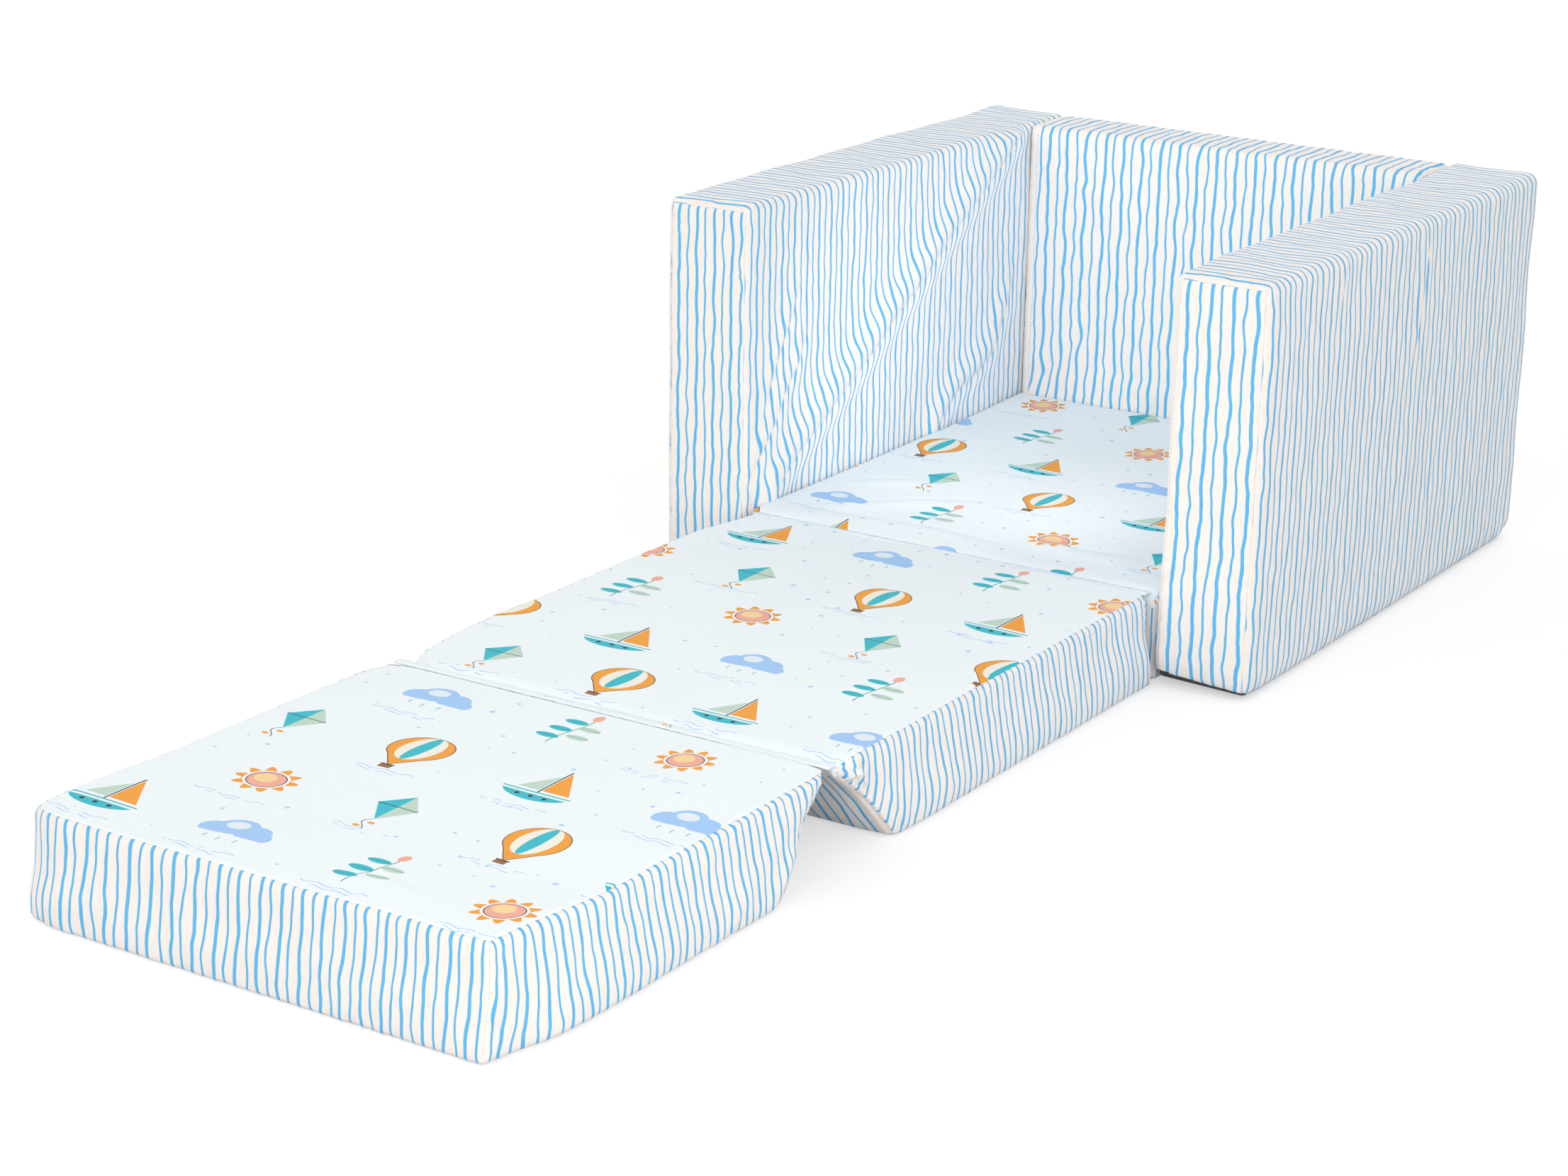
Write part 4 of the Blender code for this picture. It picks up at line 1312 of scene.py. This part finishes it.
def shape_top_edges(pad, name, x, y, up):
    """The rolled lip at a fold, the drawn corners, and the lifted front and rear of the mattress."""
    low, high = pad.low, pad.high
    upper = smooth_step(up, 0.4, 1.0)
    if name != "end":
        lip = np.clip(1 - (y - low[1]) / bpy.context.scene.armchair_shape.lip_radius, 0, 1)
        pad.points[:, 2] -= 0.0042 * lip ** 2 * upper
    for side_x, end_y, size, inward, back, dip in CORNERS[name]:
        edge_x, edge_y = (low[0], high[0])[side_x], (low[1], high[1])[end_y]
        weight = np.clip(1 - np.abs(x - edge_x) / size, 0, 1) * np.clip(1 - np.abs(y - edge_y) / size, 0, 1)
        weight = weight ** 1.5
        pad.points[:, 0] += weight * inward * (1 - 2 * side_x)
        pad.points[:, 1] += weight * back * (1 - 2 * end_y)
        pad.shifted += weight * back * (1 - 2 * end_y)
        pad.points[:, 2] -= weight * dip * smooth_step(up, 0.3, 1.0)
    if name == "end":
        lifted = 0.0035 + 0.0020 * smooth_step(x, -0.1, 0.2)
        pad.points[:, 2] += lifted * smooth_step(y, -0.60, low[1]) * upper
    if name == "seat":
        pad.points[:, 2] += 0.0030 * smooth_step(y, 0.50, high[1]) * upper
    pad.refresh()


def crumple_corners(pad, name):
    """Gathered cloth at the ends of the folds between the sections."""
    x, y, z = pad.flat.T
    depth = pad.high[2] - z
    walls = np.clip(pad.facing(0, 1) + pad.facing(0, -1), 0, 1)
    ripple = np.sin(((x + y) * 0.4 + z * 1.6) * 2 * math.pi / 0.011)
    for end, without in ((pad.low[1], "end"), (pad.high[1], "seat")):
        if name != without:
            pad.raise_by(walls * 0.0010 * ripple * bell(np.hypot(y - end, depth * 0.7), 0.016))
    if name == "middle":
        right = np.where(x > 0, walls, 0)
        for back, drop, size, height in PUFFS:
            pad.raise_by(right * height * bell(np.hypot(y - pad.low[1] - back, depth - drop), size))
        behind = y + depth - pad.low[1]
        from_tip = np.hypot(behind, depth)
        pleats = np.sin(np.arctan2(depth, behind + 1e-6) * 16 + 0.8)
        pleats = right * 0.0016 * pleats * smooth_step(from_tip, 0.001, 0.006)
        pad.raise_by(pleats * bell(from_tip, 0.020))


# How far a section's left rim, its right and its left foot, and the foot of its front stand out.
LOOSE = {
    "seat": (0.0, 0.0, 0.0, 0.0),
    "middle": (0.0140, 0.0105, 0.0025, 0.0110),
    "end": (0.0155, 0.0105, 0.0005, 0.0085),
}

# Corners: right, rear, reach, and how far they are drawn in, drawn back and lowered.
CORNERS = {
    "seat": ((0, 0, 0.020, 0.0020, 0.0020, 0.0025), (1, 0, 0.020, 0.0020, 0.0020, 0.0025)),
    "middle": ((0, 0, 0.095, 0.0070, 0.0, 0.0035), (0, 0, 0.034, 0.0050, 0.0060, 0.0045),
               (1, 0, 0.030, 0.0040, 0.0040, 0.0070), (1, 1, 0.014, 0.0015, 0.0015, 0.0015)),
    "end": ((0, 0, 0.036, 0.0030, 0.0090, 0.0018), (0, 1, 0.030, 0.0060, 0.0050, 0.0015),
            (1, 1, 0.020, 0.0025, 0.0025, 0.0030)),
}

# Small puffs on the middle section's right wall: place behind its front and under its top, size and height.
PUFFS = ((0.006, 0.008, 0.0042, 0.0048), (0.013, 0.014, 0.0046, 0.0042), (0.018, 0.007, 0.0040, 0.0034),
         (0.012, 0.022, 0.0038, 0.0028))

PRINT_START = {"seat": (0.0, 0.0), "middle": (0.031, 0.043), "end": (0.337, 0.152)}

TOP_FOLDS = {
    "seat": (
        (((-200, 190), (-130, 208), (-40, 214), (60, 206)), 0.034, 0.0030, 0.0018, 0.003),
        (((-190, 200), (-150, 240), (-100, 285), (-40, 320)), 0.034, 0.0032, 0.0020, 0.003),
        (((-195, 290), (-160, 320), (-110, 350)), 0.030, 0.0024, 0.0014, 0.002),
        (((40, 250), (100, 235), (170, 245)), 0.034, 0.0022, 0.0012, 0.002),
    ),
    "middle": ((((-60, 120), (-10, 60), (60, 10)), 0.034, 0.0010, 0.0008, 0.001),),
    "end": ((((20, -700), (80, -690), (150, -705)), 0.030, 0.0012, 0.0010, 0.001),),
}

# Each fold by the section in front of it: the bodies behind and in front, its place along Y, and its ends.
FOLDS = {
    "middle": (CHAIR, MIDDLE, 0.15895, (-0.1995, 0.1995)),
    "end": (MIDDLE, END, -0.34205, (-0.2060, 0.1995)),
}
FOLD_TOP = 0.079
FOLD_THICKNESS = 0.0009
# Cross section of a fold cloth: places along Y and depths under the mattress top.
FOLD_PROFILE = ((0.0085, 0.0034), (0.0070, 0.0028), (0.0060, 0.0023), (0.0048, 0.0020), (0.0030, 0.0017),
                (0.0012, 0.0013), (-0.0006, 0.0009), (-0.0020, 0.0006), (-0.0032, 0.0005), (-0.0042, 0.0006),
                (-0.0050, 0.0012))


def blend_over_fold(obj):
    """Bakes a piece's placement into its mesh."""
    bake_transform(obj)


def fold_strip(name):
    """Cloth that joins two sections: a sewn, slightly gathered strip in the valley between their edges."""
    _, _, y, ends = FOLDS[name]
    across = np.linspace(*ends, 241)
    ripple = gathers(across, 0.017, 91) * 0.00012
    loop = list(FOLD_PROFILE) + [(reach, depth + FOLD_THICKNESS) for reach, depth in FOLD_PROFILE[::-1]]
    rings = [np.stack([across, y + reach + ripple, FOLD_TOP - depth + ripple], 1) for reach, depth in loop]
    skin = mesh_of(*loft(np.array(rings).transpose(1, 0, 2)))
    obj = link_piece(name + "_fold_cloth", skin, "printed_cotton", True)
    place = np.array([vertex.co for vertex in obj.data.vertices])
    corners = np.empty(len(obj.data.loops), np.int32)
    obj.data.loops.foreach_get("vertex_index", corners)
    layer = obj.data.uv_layers.new(name="Cloth")
    layer.uv.foreach_set("vector", (place[corners, :2] + PRINT_START[name]).astype(np.float32).ravel())
    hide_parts(name + "_fold_strip")
    blend_over_fold(obj)


def loft(rings):
    """Points and faces of a closed skin through rings of points, with both ends capped."""
    count, width = rings.shape[:2]
    index = np.arange(count * width).reshape(count, width)
    after = np.roll(index, -1, axis=1)
    quads = np.stack([index[:-1], after[:-1], after[1:], index[1:]], -1).reshape(-1, 4).tolist()
    return rings.reshape(-1, 3), quads + [index[0][::-1].tolist(), index[-1].tolist()]


def mesh_of(points, faces):
    """A bmesh of points and faces."""
    bm = bmesh.new()
    verts = [bm.verts.new(point) for point in points]
    for face in faces:
        bm.faces.new([verts[number] for number in face])
    return bm


THREAD_TREE = "threads_on_a_path"
THREAD_INPUTS = (
    ("Spacing", "NodeSocketFloat", 0.0036), ("Thread length", "NodeSocketFloat", 0.0026),
    ("Thread radius", "NodeSocketFloat", 0.0003), ("Across", "NodeSocketFloat", 0.0),
    ("Facing", "NodeSocketVector", (0.0, 1.0, 0.0)), ("Jitter", "NodeSocketFloat", 0.15),
    ("Seed", "NodeSocketInt", 3), ("Material", "NodeSocketMaterial", None))


def thread_tree():
    """Short round threads set along paths, or across them, for stitches and zip coils."""
    group = bpy.data.node_groups.new(THREAD_TREE, "GeometryNodeTree")
    group.interface.new_socket("Geometry", in_out="INPUT", socket_type="NodeSocketGeometry")
    for label, kind, value in THREAD_INPUTS:
        socket = group.interface.new_socket(label, in_out="INPUT", socket_type=kind)
        if value is not None:
            socket.default_value = value
    group.interface.new_socket("Geometry", in_out="OUTPUT", socket_type="NodeSocketGeometry")
    tree = Tree(group)
    given = tree.add("NodeGroupInput").outputs
    curve = tree.add("GeometryNodeMeshToCurve", {"Mesh": given["Geometry"]})
    even = tree.add("GeometryNodeResampleCurve", {
        "Curve": curve.outputs["Curve"], "Length": given["Spacing"]}, mode="LENGTH")
    bead = tree.add("GeometryNodeMeshUVSphere", {"Segments": 6, "Rings": 4, "Radius": 1.0})
    tangent = tree.add("GeometryNodeInputTangent").outputs[0]
    cross = tree.add("ShaderNodeVectorMath", {0: tangent, 1: given["Facing"]}, operation="CROSS_PRODUCT")
    choose = tree.add("ShaderNodeMix", {
        0: given["Across"], 4: tangent, 5: cross.outputs[0]}, data_type="VECTOR")
    align = tree.add("FunctionNodeAlignRotationToVector", {"Vector": choose.outputs[1]}, axis="Z")
    shortest = tree.math("SUBTRACT", 1.0, given["Jitter"])
    chance = tree.add("FunctionNodeRandomValue", {
        2: shortest, 3: 1.0, "Seed": given["Seed"]}, data_type="FLOAT")
    half_length = tree.math("MULTIPLY", chance.outputs[1], given["Thread length"]) * 0.5
    radius = given["Thread radius"]
    scatter = tree.add("GeometryNodeInstanceOnPoints", {
        "Points": even.outputs["Curve"], "Instance": bead.outputs["Mesh"], "Rotation": align.outputs[0],
        "Scale": tree.vector(radius, radius, half_length)})
    real = tree.add("GeometryNodeRealizeInstances", {0: scatter.outputs["Instances"]})
    finish = tree.add("GeometryNodeSetMaterial", {"Geometry": real.outputs[0], "Material": given["Material"]})
    tree.add("NodeGroupOutput", {0: finish.outputs[0]})
    return group


def threads(name, body, paths, finish, **inputs):
    """Runs the thread tree over some paths and keeps the result as one plain mesh."""
    tree = bpy.data.node_groups.get(THREAD_TREE) or thread_tree()
    points, edges = [], []
    for path in paths:
        first = len(points)
        points += [tuple(map(float, p)) for p in path]
        edges += [(first + i, first + i + 1) for i in range(len(path) - 1)]
    mesh = bpy.data.meshes.new(name + "_path")
    mesh.from_pydata(points, edges, [])
    guide = add_object(mesh.name, mesh)
    modifier = guide.modifiers.new("Threads", "NODES")
    modifier.node_group = tree
    values = {"Material": finish_of(finish), **inputs}
    for item in tree.interface.items_tree:
        if item.in_out == "INPUT" and item.name in values:
            modifier[item.identifier] = values[item.name]
    bpy.context.view_layer.update()
    evaluated = guide.evaluated_get(bpy.context.evaluated_depsgraph_get())
    plain = bpy.data.meshes.new_from_object(evaluated)
    plain.name = name
    bpy.data.objects.remove(guide)
    bpy.data.meshes.remove(mesh)
    plain.polygons.foreach_set("use_smooth", np.ones(len(plain.polygons), bool))
    obj = add_object(name, plain)
    if body is not None:
        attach(obj, body)
    return obj


def link_piece(name, bm, finish, smooth=False):
    """Makes an object of a bmesh."""
    bmesh.ops.recalc_face_normals(bm, faces=bm.faces)
    mesh = bpy.data.meshes.new(name)
    for face in bm.faces:
        face.smooth = smooth
    bm.to_mesh(mesh)
    bm.free()
    mesh.materials.append(finish_of(finish))
    return add_object(name, mesh)


def bar(bm, centre, size, bevel=0.0002):
    """A bevelled block in a bmesh."""
    made = bmesh.ops.create_cube(bm, size=1.0)["verts"]
    bmesh.ops.scale(bm, vec=Vector(size), verts=made)
    bmesh.ops.translate(bm, vec=Vector(centre), verts=made)
    edges = list(dict.fromkeys(edge for vert in made for edge in vert.link_edges))
    bmesh.ops.bevel(bm, geom=edges, offset=bevel, segments=2, affect="EDGES", profile=0.5)


def plate(bm, outline, low, high, hole=None):
    """A flat plate of a given outline, with a hole where one is given."""
    rings = [outline] if hole is None else [outline, hole]
    made = [[bm.verts.new((x, y, z)) for x, y in ring] for z in (low, high) for ring in rings]
    if hole is None:
        bottom, top = made
        bm.faces.new(bottom[::-1])
        bm.faces.new(top)
        pairs = ((bottom, top),)
    else:
        pairs = ((made[0], made[2]), (made[2], made[3]), (made[3], made[1]), (made[1], made[0]))
    for first, second in pairs:
        for i in range(len(outline)):
            j = (i + 1) % len(outline)
            bm.faces.new((first[i], first[j], second[j], second[i]))


OUTLINE_POINTS = 28


def soft_outline(centre, length, first, last, power=0.45):
    """Outline with rounded corners, first wide at its low end and last wide at its high end."""
    turn = np.arange(OUTLINE_POINTS) * 2 * math.pi / OUTLINE_POINTS
    x, y = (np.sign(part) * np.abs(part) ** power for part in (np.cos(turn), np.sin(turn)))
    width = first + (last - first) * (x + 1) / 2
    return list(zip(centre + length / 2 * x, y * width / 2))


def zip_slider(name, body, origin, along, facing):
    """Slider with its bridge, and the pull that lies back along the zip."""
    bm = bmesh.new()
    plate(bm, soft_outline(0.0, 0.0100, 0.0058, 0.0080), 0.0002, 0.0009)
    for side in (-1, 1):
        bar(bm, (0.0, side * 0.0036, 0.0), (0.0082, 0.0008, 0.0014))
    bar(bm, (0.0012, 0.0, 0.0011), (0.0060, 0.0018, 0.0006))
    bar(bm, (-0.0036, 0.0, 0.0013), (0.0010, 0.0012, 0.0012))
    bar(bm, (-0.0014, 0.0, 0.00195), (0.0054, 0.0012, 0.0004), 0.00015)
    bar(bm, (0.0008, 0.0, 0.0016), (0.0014, 0.0012, 0.0008))
    hole = [(x - 0.0036, y) for x, y in soft_outline(0.0, 0.0023, 0.0023, 0.0023, 1.0)]
    plate(bm, soft_outline(-0.0145, 0.0250, 0.0056, 0.0042), 0.00105, 0.00165, hole)
    plate(bm, soft_outline(-0.0185, 0.0130, 0.0036, 0.0032), 0.00160, 0.00182)
    turn = Matrix((along, np.cross(facing, along), facing)).transposed().to_4x4()
    bmesh.ops.transform(bm, matrix=Matrix.Translation(Vector(origin)) @ turn, verts=bm.verts)
    obj = link_piece(name + "_pull_slider", bm, "zip_metal")
    rounding = obj.modifiers.new("Rounding", "BEVEL")
    rounding.width = 0.00015
    rounding.segments = 2
    rounding.limit_method = "ANGLE"
    rounding.angle_limit = math.radians(40)
    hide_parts(name + "_zip_slider")
    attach(obj, body)
    narrow_when_folded(obj, body)


# A zip: heights of its tape over the cover, places of its parts over it, and gaps from its ends.
TAPE_HEIGHTS = (0.0003, 0.0004, 0.0004, 0.0004, 0.0003)
TAPE_DEPTH = 0.0006
COIL_HEIGHT = 0.0006
SLIDER_HEIGHT = 0.0012
COIL_END = 0.012
SLIDER_END = 0.016
TOPSTITCH_END = 0.003
TOPSTITCH_BESIDE = 0.0140


def zip_of(name):
    """A zip that follows its cover: woven tape, two rows of coil, the slider, and topstitching round it."""
    pad, body = ZIPPED[name]
    low, high = box_of(name + "_zip")
    middle, size = (low + high) / 2, high - low
    toward = np.mean(box_of(name + "_zip_slider"), axis=0) - middle
    out, length = int(np.argmin(size)), int(np.argmax(size))
    across = 3 - out - length
    facing, along = np.zeros(3), np.zeros(3)
    facing[out], along[length] = np.sign(toward[out]), np.sign(toward[length])
    half = size[length] / 2
    face = (pad.high if toward[out] > 0 else pad.low)[out]

    def station(place, offset):
        point = middle + along * place
        point[out] = face
        point[across] += offset
        return point

    lines = [np.array(pad.run(station(-half, offset), station(half, offset))) for offset in ZIP_LINES]
    loop = [line + facing * height for line, height in zip(lines, TAPE_HEIGHTS)]
    loop += [lines[-1] - facing * TAPE_DEPTH, lines[0] - facing * TAPE_DEPTH]
    tape = link_piece(name + "_zip_tape", mesh_of(*loft(np.array(loop).transpose(1, 0, 2))), "zip_tape")
    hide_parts(name + "_zip")
    tooth = bpy.context.scene.armchair_shape.tooth
    centre = lines[2]
    paths = []
    for beside in (lines[1], lines[3]):
        line = (centre + beside) / 2 + facing * COIL_HEIGHT
        line = line[np.abs((line - middle) @ along) < half - COIL_END]
        paths.append(line)
    paths[1][0] += along * tooth * 0.5
    coil = threads(name + "_zip_coil", body, paths, "zip_coil", **{
        "Spacing": tooth, "Thread length": tooth * 2.3, "Thread radius": tooth * 0.42, "Across": 1.0,
        "Facing": tuple(facing), "Jitter": 0.0})
    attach(tape, body)
    for piece in (tape, coil):
        narrow_when_folded(piece, body)
    nearest = np.abs((centre - middle) @ along - (half - SLIDER_END)).argmin()
    zip_slider(name, body, centre[nearest] + facing * SLIDER_HEIGHT, along, facing)
    corners = [station(a * (half + TOPSTITCH_END), b * TOPSTITCH_BESIDE)
               for a, b in ((-1, -1), (1, -1), (1, 1), (-1, 1), (-1, -1))]
    remember_run(body, pad.run(*corners))


class ARMCHAIR_OT_arms(bpy.types.Operator):
    """Make the two arms in their striped covers"""
    bl_idname = "armchair.arms"
    bl_label = "Arms"

    def execute(self, context):
        for side in ("left", "right"):
            shape_arm(side)
        return {"FINISHED"}


class ARMCHAIR_OT_back(bpy.types.Operator):
    """Make the back in its striped cover"""
    bl_idname = "armchair.back"
    bl_label = "Back"

    def execute(self, context):
        shape_back()
        return {"FINISHED"}


class ARMCHAIR_OT_mattress(bpy.types.Operator):
    """Make the three mattress sections"""
    bl_idname = "armchair.mattress"
    bl_label = "Mattress sections"

    def execute(self, context):
        shape_section("seat", CHAIR)
        shape_section("middle", MIDDLE, (1.0, 0.0))
        shape_section("end", END, (0.0, -1.0))
        return {"FINISHED"}


class ARMCHAIR_OT_folds(bpy.types.Operator):
    """Make the sewn cloth folds between the mattress sections"""
    bl_idname = "armchair.folds"
    bl_label = "Sewn folds"

    def execute(self, context):
        for name in FOLDS:
            fold_strip(name)
        return {"FINISHED"}


class ARMCHAIR_OT_zips(bpy.types.Operator):
    """Set the zips into the covers"""
    bl_idname = "armchair.zips"
    bl_label = "Zips"

    def execute(self, context):
        for name in ZIPPED:
            zip_of(name)
        return {"FINISHED"}


class ARMCHAIR_OT_stitching(bpy.types.Operator):
    """Sew the seams: one run of stitches for each body"""
    bl_idname = "armchair.stitching"
    bl_label = "Stitching"

    def execute(self, context):
        shape = context.scene.armchair_shape
        kinds = ((False, "sewing_thread", "_stitches"), (True, "blue_thread", "_blue_stitches"))
        for body, (blue, finish, suffix) in itertools.product((CHAIR, MIDDLE, END), kinds):
            paths = [path for owner, path, tone in SEWN if owner == body and tone == blue]
            if paths:
                obj = threads(body + suffix, body, paths, finish, **{
                    "Spacing": shape.stitch_gap, "Thread length": shape.stitch,
                    "Thread radius": shape.thread})
                narrow_when_folded(obj, body)
        # An unbroken light-blue line along the valley of the fold between the seat and the middle section,
        # made of overlapping thread beads and attached to no body.
        line = np.empty((60, 3))
        line[:] = 0.0, FOLDS["middle"][2] + 0.0054, FOLD_TOP - 0.0021
        line[:, 0] = np.linspace(-0.197, 0.197, 60)
        obj = threads("middle_fold_blue_line", None, [line], "blue_thread", **{
            "Spacing": 0.0024, "Thread length": 0.0028, "Thread radius": 0.00022})
        blend_over_fold(obj)
        return {"FINISHED"}


def make_floor():
    """A pale floor, which glows a little where the camera sees it."""
    nodes = Nodes("pale_floor")
    rays = nodes.add("ShaderNodeLightPath").outputs
    seen = Term(nodes, rays["Is Camera Ray"]) + rays["Is Glossy Ray"] + rays["Is Transmission Ray"]
    tone = nodes.noise(nodes.vector(*nodes.place()), 1.7, 3.0)
    colour = nodes.mix(tone, (0.58, 0.58, 0.58), (0.61, 0.61, 0.61))
    diffuse = nodes.add("ShaderNodeBsdfDiffuse", {"Color": colour})
    glow = nodes.add("ShaderNodeEmission", {"Color": (1.0, 1.0, 1.0),
                                            "Strength": nodes.span(seen, 0.0, 1.0, 0.0, 0.50)})
    both = nodes.add("ShaderNodeAddShader", {0: diffuse.outputs[0], 1: glow.outputs[0]})
    nodes.tree.nodes.remove(nodes.shader)
    nodes.feed(nodes.tree.nodes["Material Output"].inputs["Surface"], both.outputs[0])
    mesh = bpy.data.meshes.new("floor")
    reach = 14.0
    corners = [(x * reach, y * reach, -0.0004) for x, y in ((-1, -1), (1, -1), (1, 1), (-1, 1))]
    mesh.from_pydata(corners, [], [(0, 1, 2, 3)])
    mesh.materials.append(nodes.material)
    add_object("floor", mesh)


def make_room(ambient):
    """World light that fades from above to below and towards the right, and is white to the camera."""
    world = bpy.data.worlds.new("soft_room")
    world.use_nodes = True
    bpy.context.scene.world = world
    room = Tree(world.node_tree)
    x, _, z = room.split(room.add("ShaderNodeTexCoord").outputs["Generated"])
    fade = room.add("ShaderNodeValToRGB", {"Fac": z})
    ramp = fade.color_ramp.elements
    for place, level in ((0.0, 0.80), (0.30, 0.92), (0.42, 1.0), (0.66, 1.0), (0.86, 0.39)):
        stop = ramp[0] if place == 0.0 else ramp.new(place)
        stop.color = (level, level, level, 1.0)
    ramp[len(ramp) - 1].color = (0.26, 0.26, 0.26, 1.0)
    shade = room.add("ShaderNodeMapRange", {"Value": x, "To Min": ambient, "To Max": ambient * 0.80})
    background = room.tree.nodes["Background"]
    room.feed(background.inputs["Color"], (1.0, 0.985, 0.97))
    room.feed(background.inputs["Strength"], room.math("MULTIPLY", fade.outputs["Color"], shade.outputs[0]))
    white = room.add("ShaderNodeBackground", {"Color": (1.0, 1.0, 1.0), "Strength": 1.0})
    camera_ray = room.add("ShaderNodeLightPath").outputs["Is Camera Ray"]
    pick = room.add("ShaderNodeMixShader", {0: camera_ray, 1: background.outputs[0], 2: white.outputs[0]})
    room.feed(room.tree.nodes["World Output"].inputs["Surface"], pick.outputs[0])


def make_lamps(stage):
    """Three large soft lamps on the armchair's middle, and a small one in the seat space."""
    aim, seat = (0.0, 0.05, 0.12), (-0.19, 0.58, 0.12)
    for name, place, width, power, colour, target, spread in (
            ("key_lamp", (0.1, -3.6, 1.3), 2.4, stage.key, (1.0, 0.985, 0.965), aim, 180),
            ("fill_lamp", (2.8, -0.8, 1.9), 2.4, stage.fill, (0.97, 0.985, 1.0), aim, 180),
            ("side_lamp", (1.4, -1.2, 0.5), 0.9, stage.side, (1.0, 0.99, 0.98), aim, 180),
            ("seat_lamp", (0.12, 0.17, 0.28), 0.20, stage.seat, (1.0, 0.955, 0.91), seat, 100)):
        data = bpy.data.lights.new(name, "AREA")
        data.shape = "DISK"
        data.size = width
        data.energy = power
        data.color = colour
        data.spread = math.radians(spread)
        lamp = add_object(name, data)
        lamp.location = place
        lamp.visible_camera = False
        lamp.rotation_euler = (Vector(target) - Vector(place)).to_track_quat("-Z", "Y").to_euler()


def make_camera(stage):
    """The camera, with the place and turn that were fitted to the armchair's corners."""
    data = bpy.data.cameras.new("camera")
    data.sensor_fit = "HORIZONTAL"
    data.sensor_width = 36.0
    data.lens = stage.lens
    camera = add_object("camera", data)
    level = Vector((math.cos(stage.azimuth), math.sin(stage.azimuth), 0.0))
    tilt = math.cos(stage.elevation)
    ahead = Vector((-math.sin(stage.azimuth) * tilt, math.cos(stage.azimuth) * tilt,
                    -math.sin(stage.elevation)))
    above = level.cross(ahead)
    right = level * math.cos(stage.roll) + above * math.sin(stage.roll)
    up = above * math.cos(stage.roll) - level * math.sin(stage.roll)
    turn = Matrix((right, up, -ahead)).transposed().to_4x4()
    camera.matrix_world = Matrix.Translation(Vector(stage.place)) @ turn
    bpy.context.scene.camera = camera


class ARMCHAIR_OT_stage(bpy.types.Operator):
    """Make the pale floor, the soft lamps and the camera"""
    bl_idname = "armchair.stage"
    bl_label = "Stage"

    def execute(self, context):
        stage = context.scene.armchair_stage
        make_floor()
        make_room(stage.ambient)
        make_lamps(stage)
        make_camera(stage)
        context.scene.view_settings.view_transform = "Standard"
        return {"FINISHED"}


STEPS = (ARMCHAIR_OT_arms, ARMCHAIR_OT_back, ARMCHAIR_OT_mattress, ARMCHAIR_OT_folds, ARMCHAIR_OT_zips,
         ARMCHAIR_OT_stitching, ARMCHAIR_OT_stage)


class ARMCHAIR_PT_panel(bpy.types.Panel):
    """Sizes, colours and steps of the armchair"""
    bl_idname = "ARMCHAIR_PT_panel"
    bl_label = "Armchair"
    bl_space_type = "VIEW_3D"
    bl_region_type = "UI"
    bl_category = "Armchair"

    def draw(self, context):
        for group, _ in GROUPS:
            values = getattr(context.scene, group)
            for key in values.bl_rna.properties.keys():
                if key not in ("rna_type", "name"):
                    self.layout.prop(values, key)
        for step in STEPS:
            self.layout.operator(step.bl_idname)


GROUPS = (("armchair_cloth", ArmchairCloth), ("armchair_shape", ArmchairShape),
          ("armchair_stage", ArmchairStage))


def register():
    for _, group in GROUPS:
        bpy.utils.register_class(group)
    for name, group in GROUPS:
        setattr(bpy.types.Scene, name, bpy.props.PointerProperty(type=group))
    for step in STEPS + (ARMCHAIR_PT_panel,):
        bpy.utils.register_class(step)


def unregister():
    for step in (ARMCHAIR_PT_panel,) + STEPS[::-1]:
        bpy.utils.unregister_class(step)
    for name, group in GROUPS[::-1]:
        delattr(bpy.types.Scene, name)
        bpy.utils.unregister_class(group)


def main():
    register()
    for step in STEPS:
        group, name = step.bl_idname.split(".")
        getattr(getattr(bpy.ops, group), name)()


if __name__ == "__main__":
    main()
